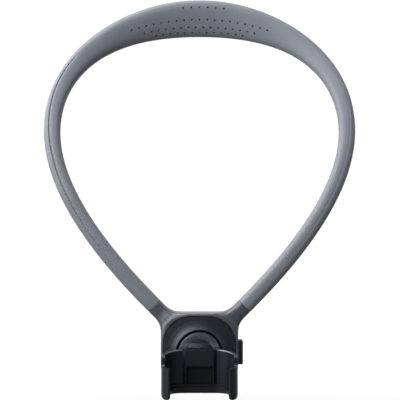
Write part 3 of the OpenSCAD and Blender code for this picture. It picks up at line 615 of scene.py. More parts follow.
def combine(obj, tool, operation="DIFFERENCE"):
    """Cuts, trims or joins a piece with a tool, which is deleted then."""
    apply_modifier(obj, "BOOLEAN", operation=operation, object=tool, solver="EXACT")
    alone(tool)
    bpy.ops.object.delete()


def merge_points(obj, threshold, outwards=False):
    """Merges doubled points and, if asked, makes all faces point outwards."""
    alone(obj)
    bpy.ops.object.mode_set(mode="EDIT")
    bpy.ops.mesh.select_all(action="SELECT")
    bpy.ops.mesh.remove_doubles(threshold=threshold)
    if outwards:
        bpy.ops.mesh.normals_make_consistent(inside=False)
    bpy.ops.object.mode_set(mode="OBJECT")


def smooth(obj, below=35):
    """Smooth shading, but for edges that turn by more than an angle in degrees."""
    alone(obj)
    bpy.ops.object.shade_smooth_by_angle(angle=math.radians(below))


# %% Skin of the sleeve
# The groove is four points close together, whose middle two dip. It starts near the outer
# edge and drifts to the middle, so every point of a ring is turned by that drift.
GROOVE = (67.5, 70.5, 73.5, 76.5)
GROOVE_DEPTH = 0.75 * MM
RIGHT_DEPTH = 0.12 * MM
GROOVE_FROM, GROOVE_TO = 0.31, 0.96
GROOVE_RISE, GROOVE_FALL = 0.05, 0.25
DRIFT_FROM, DRIFT_TO, DRIFT_DEGREES = 0.34, 0.6, 14
# The sleeve's last ring is drawn in by a small round, and rings stand close before it
SEAM_ROUND = 0.35 * MM
SEAM_STATIONS = (0.8, 0.3, 0)
AT_END = 0.01 * MM
sleeve_angles = [0, 15, 30, 45, 58, *GROOVE, *range(90, 360, 15)]


def ramp(value):
    """Holds a value between 0 and 1."""
    return max(0.0, min(1.0, value))


def groove_at(distance):
    """The groove's depth. In the photo it is plain on the left arm, faint on the right."""
    share = abs(distance) / half_length
    rising = ramp((share - GROOVE_FROM) / GROOVE_RISE)
    falling = ramp((GROOVE_TO - share) / GROOVE_FALL)
    return (GROOVE_DEPTH if distance < 0 else RIGHT_DEPTH) * rising * falling


def drift_at(distance):
    """How far the ring's points are turned towards the outer edge or the middle."""
    along = ramp((abs(distance) / half_length - DRIFT_FROM) / (DRIFT_TO - DRIFT_FROM))
    return DRIFT_DEGREES * (2 * along * along * (3 - 2 * along) - 1)


def skin_point(distance, k):
    """A point of the sleeve's skin. Its very end is drawn in to leave a seam."""
    degrees = sleeve_angles[k]
    dip = groove_at(distance) if degrees in GROOVE[1:3] else 0.0
    drawn_in = SEAM_ROUND if half_length - abs(distance) < AT_END else 0.0
    halves = [half - drawn_in for half in band_halves(distance)]
    return oval_point(distance, degrees + drift_at(distance), halves, ROUNDNESS, dip)


SLEEVE_STATIONS = 96
inner_stations = [
    half_length * (2 * k / SLEEVE_STATIONS - 1) for k in range(1, SLEEVE_STATIONS)
]
seam = [half_length - before_end * MM for before_end in SEAM_STATIONS]
sleeve_stations = [-d for d in reversed(seam)] + inner_stations[1:-1] + seam
print("sleeve stations:", len(sleeve_stations), "of", len(sleeve_angles), "points")

# %% [markdown]
# The sleeve is hollow. Its room is the strip's slot in the arms and widens to the foam's
# room in the pad, which stays a constant wall away from the skin. The sweep runs along the
# skin from one end to the other, turns in like a cuff and comes back along the room, and
# its last ring is merged with its first, so that the wall is one closed shell.

# %% Room in the sleeve
CORE_W, CORE_T = 6.2, 1.8
PAD_WALL = 2.2
FOAM_END, ROOM_OPENING = 0.36, 1.6
ROOM_POWER = 5


def room_halves(distance, gap=0.0):
    """Half the width and thickness of the room, less a gap in metres."""
    wide, thick = band_halves(distance)
    share = abs(distance) / half_length
    open_up = ramp(ROOM_OPENING * (1 - share / FOAM_END))
    slot_w, slot_t = CORE_W / 2 * MM, CORE_T / 2 * MM
    return (
        slot_w + (wide - PAD_WALL * MM - slot_w) * open_up - gap,
        slot_t + (thick - PAD_WALL * MM - slot_t) * open_up - gap,
    )


def room_point(distance, k):
    """A point of the room's wall."""
    return oval_point(distance, sleeve_angles[k], room_halves(distance), ROOM_POWER)


def sleeve_point(station, k):
    """A point of the skin or, on the way back, of the room."""
    layer, distance = station
    return skin_point(distance, k) if layer == "skin" else room_point(distance, k)


there = [("skin", d) for d in sleeve_stations]
back = [("room", d) for d in reversed(sleeve_stations)]
sleeve = sweep("loop_silicone", there + back + there[:1], len(sleeve_angles), sleeve_point)
merge_points(sleeve, 0.0001 * MM, outwards=True)
apply_modifier(sleeve, "SUBSURF", levels=2, render_levels=2)
print("sleeve:", len(sleeve.data.polygons), "faces")

# %% [markdown]
# The vents are cut, not painted. One peg with a slightly flared mouth is modelled, copied
# to each place and turned to stand square on the pad, and the lot is taken away from the
# sleeve with a Boolean modifier.

# %% Vents
VENT_R = 0.58 * MM
VENT_PITCH = 5.55 * MM
# Each row: its share of the half width, its number of vents and its shift in pitches
VENT_ROWS = ((0.62, 6, 0.5), (-0.05, 19, 0), (-0.46, 16, 0), (-0.74, 13, 0))
# The peg's length, its middle below the skin, its mouth and what stands out of the skin
PEG_LONG, PEG_MIDDLE = 2.2 * MM, -1.3 * MM
MOUTH_H, MOUTH_WIDER, PEG_HEAD = 0.4 * MM, 1.5, 0.8 * MM


def vent_place(distance, share):
    """The point on the pad's front at a share of its half width, and the way out of it."""
    point, broad, front = band_axes(distance)
    wide, thick = band_halves(distance)
    rise = 1 - abs(share) ** ROUNDNESS
    height = thick * rise ** (1 / ROUNDNESS)
    lean = abs(share) ** (ROUNDNESS - 1) * rise ** (1 / ROUNDNESS - 1)
    slope = thick / wide * math.copysign(lean, share)
    out = (broad * slope + front).normalized()
    return point + broad * wide * share + front * height, out


bpy.ops.object.select_all(action="DESELECT")
bpy.ops.mesh.primitive_cylinder_add(
    vertices=16, radius=VENT_R, depth=PEG_LONG, location=(0, 0, PEG_MIDDLE)
)
peg = bpy.context.object
bpy.ops.object.transform_apply(location=True)
bpy.ops.object.mode_set(mode="EDIT")
select_only("FACE", lambda face: face.normal.z > 0.9)
bpy.ops.mesh.extrude_region_move(TRANSFORM_OT_translate={"value": (0, 0, MOUTH_H)})
bpy.ops.transform.resize(value=(MOUTH_WIDER, MOUTH_WIDER, 1))
bpy.ops.mesh.extrude_region_move(TRANSFORM_OT_translate={"value": (0, 0, PEG_HEAD)})
bpy.ops.object.mode_set(mode="OBJECT")


def copy_of(mesh, name):
    """A new object with its own copy of a mesh."""
    made = bpy.data.objects.new(name, mesh.copy())
    bpy.context.collection.objects.link(made)
    return made


pegs = []
for share, count, shift in VENT_ROWS:
    for k in range(count):
        point, out = vent_place((k - (count - 1) / 2 + shift) * VENT_PITCH, share)
        copy = copy_of(peg.data, "vent")
        turned = out.to_track_quat("Z", "Y").to_matrix().to_4x4()
        copy.data.transform(Matrix.Translation(point) @ turned)
        pegs.append(copy)
alone(peg)
bpy.ops.object.delete()
alone(pegs[0])
for copy in pegs:
    copy.select_set(True)
bpy.ops.object.join()
combine(sleeve, bpy.context.object)
sleeve.data.materials.clear()
sleeve.data.materials.append(silicone)
smooth(sleeve, 40)
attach(sleeve, "housing")
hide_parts("loop_sleeve")
print("vents:", sum(row[1] for row in VENT_ROWS), "sleeve:", len(sleeve.data.polygons), "faces")

# %% [markdown]
# ## The foam in the nape
#
# A strip of foam fills the pad's room round the metal core and is what one sees down in the
# vents. It is a sweep too, closed at its ends, and a little smaller than its room.

# %% Nape foam
FOAM_GAP = 0.12 * MM
FOAM_POINTS = 20
FOAM_STATIONS = 40
FOAM_SHARE = 0.97
foam_half = FOAM_END * FOAM_SHARE * half_length


def foam_point(distance, k):
    """A point of the foam's skin."""
    halves = room_halves(distance, FOAM_GAP)
    return oval_point(distance, 360 * k / FOAM_POINTS, halves, ROOM_POWER)


foam_stations = [foam_half * (2 * k / FOAM_STATIONS - 1) for k in range(FOAM_STATIONS + 1)]
foam = sweep("nape_foam", foam_stations, FOAM_POINTS, foam_point)
alone(foam)
bpy.ops.object.mode_set(mode="EDIT")
bpy.ops.mesh.select_all(action="SELECT")
bpy.ops.mesh.fill_holes(sides=0)
bpy.ops.mesh.normals_make_consistent(inside=False)
bpy.ops.object.mode_set(mode="OBJECT")
foam.data.materials.append(foam_pu)
smooth(foam, 40)
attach(foam, "housing")
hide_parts("nape_cushion")
print("foam:", len(foam.data.polygons), "faces")

# %% [markdown]
# ## The housing with its two horns
#
# The housing is a rounded square block whose upper corners flow out into two horns that
# the loop's arms plug on to. A plain union leaves a crease there, and the real moulding has
# none. So it is modelled as a cage, as for a subdivision surface: loops of points give the
# block, the faces of each upper corner are extruded ring by ring along the two fillets to
# the horn's end, and two levels of subdivision make one smooth skin of it.

# %% Housing block
BLOCK_HALF_W, BLOCK_HALF_H, BLOCK_DEPTH, BLOCK_R = 25.0, 25.6, 16.0, 16.0
HORN_X, HORN_Z = 10.49, 12.14
ARC_STEPS = 6
QUARTER = ARC_STEPS + 4
# Distance between the outline's points on the straight flank and the straight top
FLANK_STEP, TOP_STEP = 5.0, 4.5
# Each loop of the block: how far inside the outline it lies, and its depth
block_loops = [(3.5, 0.0), (1.2, 0.02), (0.25, 0.45), (0.0, 1.7), (0.0, 8.0)]
block_loops += [(inset, BLOCK_DEPTH - y) for inset, y in reversed(block_loops[:-1])]
corner_x, corner_z = BLOCK_HALF_W - BLOCK_R, BLOCK_HALF_H - BLOCK_R
first_turn = math.asin((HORN_Z - corner_z) / BLOCK_R)
last_turn = math.acos((HORN_X - corner_x) / BLOCK_R)


def quarter_step(k):
    """The step within a quarter, counted from the flank, and the quarter's signs."""
    quarter, step = divmod(k, QUARTER)
    side = 1 if quarter in (0, 3) else -1
    upper = 1 if quarter in (0, 1) else -1
    return (QUARTER - step if quarter in (1, 3) else step), side, upper


def block_point(loop, k):
    """A point of the block's outline, from the middle of the right flank round."""
    inset, y = loop
    step, side, upper = quarter_step(k)
    if step < 2:
        x, z = BLOCK_HALF_W - inset, FLANK_STEP * step
    elif step > ARC_STEPS + 2:
        x, z = TOP_STEP * (QUARTER - step), BLOCK_HALF_H - inset
    else:
        turn = first_turn + (last_turn - first_turn) * (step - 2) / ARC_STEPS
        x = corner_x + (BLOCK_R - inset) * math.cos(turn)
        z = corner_z + (BLOCK_R - inset) * math.sin(turn)
    return from_hub(side * x, y, upper * z)


housing = sweep("yoke_shell", block_loops, 4 * QUARTER, block_point)
print("block:", len(housing.data.vertices), "points")

# %% [markdown]
# A horn's rings follow two arcs, one from the flank and one from the top, to the arm's end.
# Each ring lies between them and changes from the corner's square patch to the arm's oval.

# %% Rings of a horn
FLANK_R, TOP_R = 14.0, 17.0
HORN_STEPS = 8
HORN_HALF_T = 7.52
ARC_SINK = 0.15
PATCH_TURN = 90 / ARC_STEPS
INNER_SHARE = 0.6
foot = Vector((FOOT_X, FOOT_Z))
across = Vector((1, -1)).normalized() * ARM_W / 2
flank_centre = Vector((BLOCK_HALF_W - ARC_SINK + FLANK_R, HORN_Z))
top_centre = Vector((HORN_X, BLOCK_HALF_H - ARC_SINK + TOP_R))


def fillet_points(step):
    """The horn's outer and inner edge at a step from its end, 0, to the block, 9."""
    turn = math.radians(45) * (1 - (max(step, 1) - 1) / HORN_STEPS)
    outer = flank_centre + FLANK_R * Vector((-math.cos(turn), math.sin(turn)))
    inner = top_centre + TOP_R * Vector((math.sin(turn), -math.cos(turn)))
    along = min(step, 1)
    return (foot + across).lerp(outer, along), (foot - across).lerp(inner, along)


def horn_point(step, around, up, side, shrink=0.0):
    """A point of a horn's ring. around and up place it, each between -1 and 1."""
    outer, inner = fillet_points(step)
    middle, half = (outer + inner) / 2, (outer - inner) / 2
    grow = ramp(step / HORN_STEPS)
    eased = grow * grow * (3 - 2 * grow)
    deep = ARM_T / 2 + (HORN_HALF_T - ARM_T / 2) * eased
    place = middle + half * around * (1 - shrink / half.length)
    return from_hub(side * place.x, FOOT_Y - (deep - shrink) * up, place.y)


def ring_share(column, row, step):
    """Where a point of the corner's patch of faces goes on a ring, as two shares."""
    edge = ARC_STEPS // 2
    power = ROUNDNESS + ramp(step / HORN_STEPS)
    if row == 0:
        degrees = 45 + PATCH_TURN * column
    elif row == 2 * edge:
        degrees = 315 - PATCH_TURN * column
    elif column == 0:
        degrees = 45 - PATCH_TURN * row
    elif column == 2 * edge:
        degrees = 135 + PATCH_TURN * row
    else:
        return INNER_SHARE * (1 - column / edge), INNER_SHARE * (1 - row / edge)
    turn = math.radians(degrees)
    return squared(math.cos(turn), power), squared(math.sin(turn), power)


# %% Horns
alone(housing)
bpy.ops.object.mode_set(mode="EDIT")
bpy.ops.mesh.select_mode(type="FACE")
bpy.ops.mesh.select_all(action="DESELECT")
cage = bmesh.from_edit_mesh(housing.data)
turn_layer = cage.verts.layers.int["turn"]
row_layer = cage.verts.layers.int.new("row")
for corner in cage.verts:
    depth = (corner.co.y - front_y) / MM
    rows = [abs(depth - y) for _, y in block_loops]
    corner[row_layer] = rows.index(min(rows)) - 1


def in_patch(corner):
    """Whether a point belongs to the faces that a horn grows from."""
    step, _, upper = quarter_step(corner[turn_layer])
    return upper > 0 and 2 <= step <= ARC_STEPS + 2 and 0 <= corner[row_layer] <= ARC_STEPS


for face in cage.faces:
    face.select_set(all(in_patch(corner) for corner in face.verts))
bmesh.update_edit_mesh(housing.data)
# Each ring's step from the horn's end, and how far it is drawn in at the seam
horn_rings = [(step, 0) for step in (6, 5, 4, 3, 2, 1, 0.12, 0)] + [(0, SEAM_ROUND / MM)]
for step, shrink in horn_rings:
    bpy.ops.mesh.extrude_region_move()
    cage = bmesh.from_edit_mesh(housing.data)
    turn_layer = cage.verts.layers.int["turn"]
    row_layer = cage.verts.layers.int["row"]
    for corner in cage.verts:
        if not corner.select:
            continue
        column, side, _ = quarter_step(corner[turn_layer])
        around, up = ring_share(column - 2, corner[row_layer], step)
        corner.co = horn_point(step, around, up, side, shrink)
    bmesh.update_edit_mesh(housing.data)
bpy.ops.mesh.select_mode(type="EDGE")
bpy.ops.mesh.select_all(action="SELECT")
bpy.ops.mesh.fill_holes(sides=0)
bpy.ops.mesh.normals_make_consistent(inside=False)
bpy.ops.object.mode_set(mode="OBJECT")
apply_modifier(housing, "SUBSURF", levels=2, render_levels=2)
print("housing skin:", len(housing.data.polygons), "faces")

# %% [markdown]
# The block is then hollowed the way a mould core would do it: a seat for each cover, the
# room between them, the button's window, and in each horn the clamp's pocket and the slot
# for the loop's metal strip. Each cutter is a box or a cylinder of the right size.


# %% Housing cavities
def cutter_box(width, height, radius, y0, y1, x=0.0, z=0.0, turn=0.0):
    """A block along the depth. The four edges that run along it are rounded."""
    bpy.ops.object.select_all(action="DESELECT")
    bpy.ops.mesh.primitive_cube_add(size=1)
    made = bpy.context.object
    made.data.transform(Matrix.Diagonal((width * MM, (y1 - y0) * MM, height * MM, 1)))
    if radius:
        bpy.ops.object.mode_set(mode="EDIT")
        select_only("EDGE", lambda edge: edge.verts[0].co.y * edge.verts[1].co.y < 0)
        bpy.ops.mesh.bevel(offset=radius * MM, segments=16)
        bpy.ops.object.mode_set(mode="OBJECT")
    turned = Matrix.Rotation(math.radians(turn), 4, "Y")
    made.data.transform(Matrix.Translation(from_hub(x, (y0 + y1) / 2, z)) @ turned)
    return made


def cutter_rod(x, z, radius, y0, y1):
    """A cylinder along the depth."""
    bpy.ops.object.select_all(action="DESELECT")
    bpy.ops.mesh.primitive_cylinder_add(
        vertices=48, radius=radius * MM, depth=(y1 - y0) * MM, rotation=(math.pi / 2, 0, 0)
    )
    bpy.ops.object.transform_apply(rotation=True)
    made = bpy.context.object
    made.data.transform(Matrix.Translation(from_hub(x, (y0 + y1) / 2, z)))
    return made


# %% Cutting the housing
# Each cavity has a width, a height and a corner radius, then the depths where it lies
SEAT, SEAT_Y = (46.6, 47.8, 17.5), (-1, 2)
HOLLOW, HOLLOW_Y = (43.6, 44.8, 12.8), (1.95, 15)
BACK_SEAT, BACK_SEAT_Y = (46.6, 47.8, 14.3), (13.6, 17)
WINDOW, WINDOW_Y, WINDOW_X = (8, 16.0, 0), (4.3, 11.7), 24
POCKET_R, POCKET_Y, POCKET_IN = 5.2, (2, 8.9), 4.5
STRIP_SLOT, STRIP_Y, STRIP_IN = (CORE_W, 20.5, 0), (7.1, 8.9), 6.9
SAME_POINT = 0.002 * MM
clamp_low, clamp_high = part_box("core_clamps")
clamp_x = clamp_high.x / MM - POCKET_IN
clamp_z = ((clamp_low.z + clamp_high.z) / 2 - hub.z) / MM
cutters = [
    cutter_box(*SEAT, *SEAT_Y),
    cutter_box(*HOLLOW, *HOLLOW_Y),
    cutter_box(*BACK_SEAT, *BACK_SEAT_Y),
    cutter_box(*WINDOW, *WINDOW_Y, WINDOW_X),
]
for side in (-1, 1):
    cutters.append(cutter_rod(side * clamp_x, clamp_z, POCKET_R, *POCKET_Y))
    slot_x, slot_z = side * (FOOT_X - STRIP_IN), FOOT_Z - STRIP_IN
    cutters.append(cutter_box(*STRIP_SLOT, *STRIP_Y, slot_x, slot_z, side * 45))
for cutter in cutters:
    combine(housing, cutter)
merge_points(housing, SAME_POINT)
apply_modifier(
    housing,
    "BEVEL",
    width=0.3 * MM,
    segments=2,
    limit_method="ANGLE",
    angle_limit=math.radians(50),
)
housing.data.materials.clear()
housing.data.materials.append(housing_abs)
smooth(housing)
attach(housing, "housing")
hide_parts("yoke_frame")
print("housing:", len(housing.data.polygons), "faces")

# %% [markdown]
# ## Moulded pieces with rounded edges
#
# A moulded part never has a knife edge: the tool leaves a radius of a few tenths of a
# millimetre, and that is what draws the thin bright lines along the cradle and the hub. The
# solids leave it out. So each moulding is copied from its solid, its loose
# triangles are merged and its flat faces dissolved, and a Bevel modifier rounds what is
# sharper than the given angle. The cradle's upper rim gets a larger round first, and all its
# rounds take a second finish in a paler colour: a painted highlight that brightens those lines.

# %% Rounded copies of the mouldings
SOFT_ROUND = 0.7 * MM


def rounded_moulding(
    node, name, body, finish, radius_mm,
    segments=2, sharp=30, cutters=(), soft=None, highlight_finish=None,
):
    """A copy of a solid whose edges are rounded. It stands for the solid."""
    made = copy_of(solids[node].data, name)
    made.data.materials.clear()
    made.data.materials.append(finish)
    if highlight_finish:
        made.data.materials.append(highlight_finish)
    # When a second finish is given, the rounds take it: on the cradle, a paler colour that is a
    # painted highlight
    rounds = 1 if highlight_finish else -1
    alone(made)
    bpy.ops.object.mode_set(mode="EDIT")
    bpy.ops.mesh.select_all(action="SELECT")
    bpy.ops.mesh.remove_doubles(threshold=SAME_POINT)
    bpy.ops.mesh.dissolve_limited(angle_limit=math.radians(0.5))
    bpy.ops.object.mode_set(mode="OBJECT")
    for cutter in cutters:
        combine(made, cutter)
    if soft:

        def is_soft(edge):
            bent = len(edge.link_faces) == 2 and edge.calc_face_angle() > math.radians(sharp)
            return bent and all(soft(v.co) for v in edge.verts)

        alone(made)
        bpy.ops.object.mode_set(mode="EDIT")
        select_only("EDGE", is_soft)
        bpy.ops.mesh.bevel(offset=SOFT_ROUND, segments=4, material=rounds)
        bpy.ops.object.mode_set(mode="OBJECT")
    apply_modifier(
        made,
        "BEVEL",
        width=radius_mm * MM,
        segments=segments,
        limit_method="ANGLE",
        angle_limit=math.radians(sharp),
        material=rounds,
    )
    smooth(made)
    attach(made, body)
    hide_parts(node)
    return made


# %% The cradle's upper rim
RIM_LOW, RIM_HIGH = 1.6, 3.3
RIM_REAR = -4.6
PANEL_HALF_W = 10.5


def on_upper_rim(point):
    """Whether a point is on the cradle's top beside the panel. It falls to the jaws."""
    height, depth = (point.z - hub.z) / MM, (point.y - front_y) / MM
    beside = abs(point.x) > PANEL_HALF_W * MM
    return beside and RIM_LOW < height < RIM_HIGH and depth < RIM_REAR


# %% The mouldings
# The cover's plate is trimmed to its seat, less a gap, and its collar is taken off
ALL_ROUND = (60, 60, 0)
PLATE_FRONT, PLATE_REAR = 0.05, 2.02
COVER_GAP = 0.15
outside_seat = cutter_box(*ALL_ROUND, -4, PLATE_REAR)
inside_seat = cutter_box(
    SEAT[0] - 2 * COVER_GAP, SEAT[1] - 2 * COVER_GAP, SEAT[2] - COVER_GAP, -5, 3
)
combine(outside_seat, inside_seat)
collar = cutter_box(*ALL_ROUND, -5, PLATE_FRONT)
# Each moulding: its node, name and body, its finish and its edges' round in mm
mouldings = [
    rounded_moulding(
        "front_cover", "front_shell", "housing", cover_abs, 0.25,
        cutters=(outside_seat, collar),
    ),
    rounded_moulding("back_cover", "back_shell", "housing", cover_abs, 0.3),
    rounded_moulding("swivel_disc", "hub_disc", "cradle", hub_acetal, 0.25),
    # The cradle's rounds take the paler edge finish, a painted highlight along them
    rounded_moulding(
        "cradle_body", "cradle_shell", "cradle", cradle_abs, 0.5,
        segments=3, soft=on_upper_rim, highlight_finish=cradle_edge_highlight,
    ),
    rounded_moulding("release_button", "button_cap", "release", button_abs, 0.4),
    rounded_moulding("chest_pad", "chest_cushion", "housing", soft_rubber, 0.35),
    rounded_moulding("screw_plugs", "plug_caps", "housing", soft_rubber, 0.3),
    rounded_moulding("friction_ring", "friction_cord", "cradle", soft_rubber, 0.05),
    rounded_moulding("recess_pad", "recess_rubber", "cradle", soft_rubber, 0.2),
]
for piece in mouldings:
    print(piece.name, len(piece.data.polygons), "faces")

# %% [markdown]
# ## The cover's flare
#
# On the real cover the collar isn't a ring on a plate: the plate lifts in one hollow curve,
# like the bell of a horn, and is steepest at the rim of the hub's recess. That is where the
# light gathers in a soft crescent. The outline is an arc that starts flat on the plate, and
# a small round over the rim. It is drawn once and spun about the hub.


# %% Spinning a profile
def spun(profile):
    """A ring turned about the hub's axis from a closed profile of radii and depths."""
    bpy.ops.object.select_all(action="DESELECT")
    bpy.ops.mesh.primitive_circle_add(vertices=len(profile), radius=MM)
    made = bpy.context.object
    for corner, (radius, depth) in zip(made.data.vertices, profile):
        corner.co = from_hub(radius, depth, 0)
    bpy.ops.object.mode_set(mode="EDIT")
    bpy.ops.mesh.select_all(action="SELECT")
    bpy.ops.mesh.spin(
        steps=96, angle=math.radians(360), center=from_hub(0, 0, 0), axis=(0, 1, 0)
    )
    bpy.ops.object.mode_set(mode="OBJECT")
    merge_points(made, 0.001 * MM, outwards=True)
    return made


# %% Flare
FLARE_H, FLARE_ROOT = 2.4, 1.0
FLARE_TURN = math.radians(37)
FLARE_STEPS, RIM_STEPS = 12, 8
RECESS_R, RIM_ROUND = 14.8, 0.5
crest_r = RECESS_R + RIM_ROUND * (1 + math.sin(FLARE_TURN))
crest_h = FLARE_H - RIM_ROUND * (1 - math.cos(FLARE_TURN))
flare_r = crest_h / (1 - math.cos(FLARE_TURN))
foot_r = crest_r + flare_r * math.sin(FLARE_TURN)
outline = [(foot_r, FLARE_ROOT)]
for k in range(FLARE_STEPS + 1):
    turn = FLARE_TURN * k / FLARE_STEPS
    radius = foot_r - flare_r * math.sin(turn)
    outline.append((radius, PLATE_FRONT - flare_r * (1 - math.cos(turn))))
for k in range(1, RIM_STEPS + 1):
    turn = FLARE_TURN - (FLARE_TURN + math.pi / 2) * k / RIM_STEPS
    radius = RECESS_R + RIM_ROUND + RIM_ROUND * math.sin(turn)
    outline.append((radius, PLATE_FRONT - FLARE_H + RIM_ROUND * (1 - math.cos(turn))))
outline.append((RECESS_R, FLARE_ROOT))
flare = spun(outline)
flare.data.materials.append(cover_abs)
front_shell = bpy.data.objects["front_shell"]
combine(front_shell, flare, "UNION")
print("flare from radius", round(foot_r, 1), "to", RECESS_R)

# %% [markdown]
# ## The cover's skirt
#
# Past the flare the plate goes on falling to its corners, ever less steeply, so that its
# tone changes all the way out. A flat plate would show one dull tone there. The slope is
# taken off with a spun ring whose rear face is that gentle curve.

# %% Skirt
SKIRT_IN, SKIRT_OUT, SKIRT_STEPS = 20.8, 30.8, 8
SKIRT_TURN = math.radians(4)
SKIRT_FRONT = -3.0
skirt_start = math.asin((foot_r - SKIRT_IN) / flare_r)
skirt_step = (SKIRT_OUT - SKIRT_IN) / SKIRT_STEPS
depth = PLATE_FRONT - flare_r * (1 - math.cos(skirt_start))
outline = [(SKIRT_IN, depth)]
for k in range(1, SKIRT_STEPS + 1):
    turn = skirt_start + (SKIRT_TURN - skirt_start) * (k - 0.5) / SKIRT_STEPS
    depth += skirt_step * math.tan(turn)
    outline.append((SKIRT_IN + skirt_step * k, depth))
outline += [(SKIRT_OUT, SKIRT_FRONT), (SKIRT_IN, SKIRT_FRONT)]
combine(front_shell, spun(outline))
smooth(front_shell)
print("cover with its flare:", len(front_shell.data.polygons), "faces")

# %% [markdown]
# ## The hub's crown
#
# The ring of the hub's face round the cradle's tongue is crowned: one sees a light band on
# the flank that looks to the lamp, on the left leg outside and on the right leg inside. It
# is a shallow arc, spun like the flare and united with the disc.

# %% Crown
CROWN_IN, CROWN_OUT, CROWN_H = 9.35, 13.5, 0.5
DISC_Y = -1.9
ROOT_IN, ROOT_OUT = 0.3, 0.6
CROWN_STEPS = 12
crown_half = (CROWN_OUT - CROWN_IN) / 2
crown_r = (crown_half**2 + CROWN_H**2) / (2 * CROWN_H)
crown_turn = math.asin(crown_half / crown_r)
outline = [(CROWN_IN, DISC_Y + ROOT_IN)]
for k in range(CROWN_STEPS + 1):
    turn = crown_turn * (2 * k / CROWN_STEPS - 1)
    rise = crown_r * (math.cos(turn) - math.cos(crown_turn))
    outline.append((CROWN_IN + crown_half + crown_r * math.sin(turn), DISC_Y - rise))
outline.append((CROWN_OUT, DISC_Y + ROOT_OUT))
crown = spun(outline)
crown.data.materials.append(hub_acetal)
hub_disc = bpy.data.objects["hub_disc"]
combine(hub_disc, crown, "UNION")
smooth(hub_disc)
print("hub with its crown:", len(hub_disc.data.polygons), "faces")

# %% [markdown]
# ## The tongue's ramp
#
# The cradle's round tongue lies in the hub's disc, and its face swings forward in two arcs
# to meet the cradle's back, so that the light lies in a band across its middle. The side
# view is drawn once and extruded across, a rod trims it to the tongue's circle, and it is
# united with the cradle.

# %% Ramp
TONGUE_R, TONGUE_Y = 9.1, -1.3
RAMP_TOP_Z, RAMP_FOOT_Z = 9.1, 3.2
RAMP_BACK_Y, RAMP_FRONT_Y = -1.75, -3.3
RAMP_TURN = math.radians(6)
RAMP_STEPS = 8
# How far the ramp reaches into the tongue and down behind the cradle, and the rod's depths
RAMP_ROOT, RAMP_SINK = 0.4, 1
ROD_Y = (-5, 2)
ramp_run, ramp_rise = RAMP_TOP_Z - RAMP_FOOT_Z, RAMP_BACK_Y - RAMP_FRONT_Y
steep_turn = 2 * math.atan(ramp_rise / ramp_run) - RAMP_TURN
ramp_r = ramp_run / 2 / (math.sin(steep_turn) - math.sin(RAMP_TURN))
turns = [RAMP_TURN + (steep_turn - RAMP_TURN) * k / RAMP_STEPS for k in range(RAMP_STEPS + 1)]
downs = [ramp_r * (math.sin(turn) - math.sin(RAMP_TURN)) for turn in turns]
outs = [ramp_r * (math.cos(RAMP_TURN) - math.cos(turn)) for turn in turns]
upper_arc = list(zip(downs, outs))
outline = [(TONGUE_Y + RAMP_ROOT, RAMP_FOOT_Z - RAMP_SINK), (TONGUE_Y + RAMP_ROOT, RAMP_TOP_Z)]
outline += [(RAMP_BACK_Y - out, RAMP_TOP_Z - down) for down, out in upper_arc]
outline += [(RAMP_FRONT_Y + out, RAMP_FOOT_Z + down) for down, out in reversed(upper_arc[:-1])]
outline.append((RAMP_FRONT_Y, RAMP_FOOT_Z - RAMP_SINK))
bpy.ops.object.select_all(action="DESELECT")
bpy.ops.mesh.primitive_circle_add(vertices=len(outline), radius=MM, fill_type="NGON")
tongue_ramp = bpy.context.object
for corner, (depth, height) in zip(tongue_ramp.data.vertices, outline):
    corner.co = from_hub(-TONGUE_R, depth, height)
bpy.ops.object.mode_set(mode="EDIT")
bpy.ops.mesh.select_all(action="SELECT")
bpy.ops.mesh.extrude_region_move(TRANSFORM_OT_translate={"value": (2 * TONGUE_R * MM, 0, 0)})
bpy.ops.mesh.select_all(action="SELECT")
bpy.ops.mesh.normals_make_consistent(inside=False)
bpy.ops.object.mode_set(mode="OBJECT")
combine(tongue_ramp, cutter_rod(0, 0, TONGUE_R, *ROD_Y), "INTERSECT")
tongue_ramp.data.materials.clear()
tongue_ramp.data.materials.append(cradle_abs)
cradle_shell = bpy.data.objects["cradle_shell"]
combine(cradle_shell, tongue_ramp, "UNION")
smooth(cradle_shell)
print("cradle with the tongue's ramp:", len(cradle_shell.data.polygons), "faces")
print("cradle's finishes:", [m.name for m in cradle_shell.data.materials])

# %% [markdown]
# ## Ribbed liners in the jaws
#
# The rubber liners carry fine upright ribs that grip the camera. One rib is a slim rod with
# domed ends, modelled once. Its copies stand side by side along the liner's face, first
# down the straight wall and then round the corner, and are joined to the liner.

# %% Liners
RIB_PITCH = 1.15 * MM
RIB_R = 0.34 * MM
RIB_OUT = 0.16 * MM
RIB_SHORTER = 1.6 * MM
LINER_T = 1.0 * MM
# Radius of the liner's face in the cradle's rear corner, and how far that corner's centre
# lies in front of the liner's rear end
CORNER_R, CORNER_AHEAD = 11.8 * MM, 8.5 * MM

right_low, right_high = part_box("right_jaw_liner")
face_x = right_high.x - LINER_T
corner = Vector((face_x - CORNER_R, right_high.y - CORNER_AHEAD))
straight = corner.y - right_low.y
turned_by = math.asin((right_high.y - corner.y) / CORNER_R)
face_length = straight + CORNER_R * turned_by
rib_count = int((face_length - 2 * RIB_R) / RIB_PITCH) + 1
first_rib = (face_length - (rib_count - 1) * RIB_PITCH) / 2


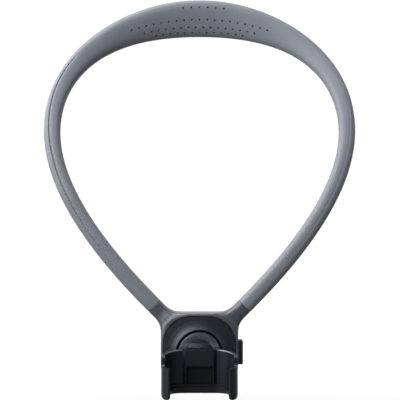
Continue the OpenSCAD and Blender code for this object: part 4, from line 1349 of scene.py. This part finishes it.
def rib_place(side, travel):
    """Where a rib stands on the liner's face, travelling from the front to the corner."""
    if travel < straight:
        x, y = face_x + RIB_R - RIB_OUT, right_low.y + travel
    else:
        turn = (travel - straight) / CORNER_R
        reach = CORNER_R + RIB_R - RIB_OUT
        x = corner.x + reach * math.cos(turn)
        y = corner.y + reach * math.sin(turn)
    return Vector((side * x, y, (right_low.z + right_high.z) / 2))


rib_height = right_high.z - right_low.z - RIB_SHORTER
bpy.ops.object.select_all(action="DESELECT")
bpy.ops.mesh.primitive_cylinder_add(vertices=12, radius=RIB_R, depth=rib_height)
rib = bpy.context.object
apply_modifier(rib, "BEVEL", width=0.25 * MM, segments=2, limit_method="ANGLE")
liners = []
for side, node in ((-1, "left_jaw_liner"), (1, "right_jaw_liner")):
    liner = rounded_moulding(
        node, node.replace("jaw_", ""), "cradle", soft_rubber, 0.12
    )
    copies = []
    for k in range(rib_count):
        copy = copy_of(rib.data, "rib")
        copy.data.transform(Matrix.Translation(rib_place(side, first_rib + k * RIB_PITCH)))
        copy.data.materials.append(soft_rubber)
        copies.append(copy)
    alone(liner)
    for copy in copies:
        copy.select_set(True)
    bpy.ops.object.join()
    liners.append(liner)
alone(rib)
bpy.ops.object.delete()
print("liners with", rib_count, "ribs each:", [len(o.data.polygons) for o in liners])

# %% [markdown]
# ## Flat faces that shade flat
#
# Smooth shading bends the light on a flat face towards its rounded edges. The Weighted
# Normal modifier lets the large faces decide, so they stay flat and each round keeps its
# own thin line of light, as on the real mouldings.

# %% Even shading
for piece in [housing, *mouldings, *liners]:
    apply_modifier(piece, "WEIGHTED_NORMAL", keep_sharp=True)
print("evened:", len(mouldings) + len(liners) + 1)

# %% [markdown]
# ## The latch's springs
#
# Two small springs push the button back. They are inside, where only a cut shows them, but
# they have to shorten when the button goes in, or the slide would run into their coils. Here
# a copy of the solid, with its points merged, stands in for them in steel.

# %% Springs
springs = copy_of(solids["latch_springs"].data, "spring_coils")
merge_points(springs, SAME_POINT)
springs.data.materials.clear()
springs.data.materials.append(steel)
smooth(springs)
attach(springs, "housing")
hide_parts("latch_springs")
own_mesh(springs)
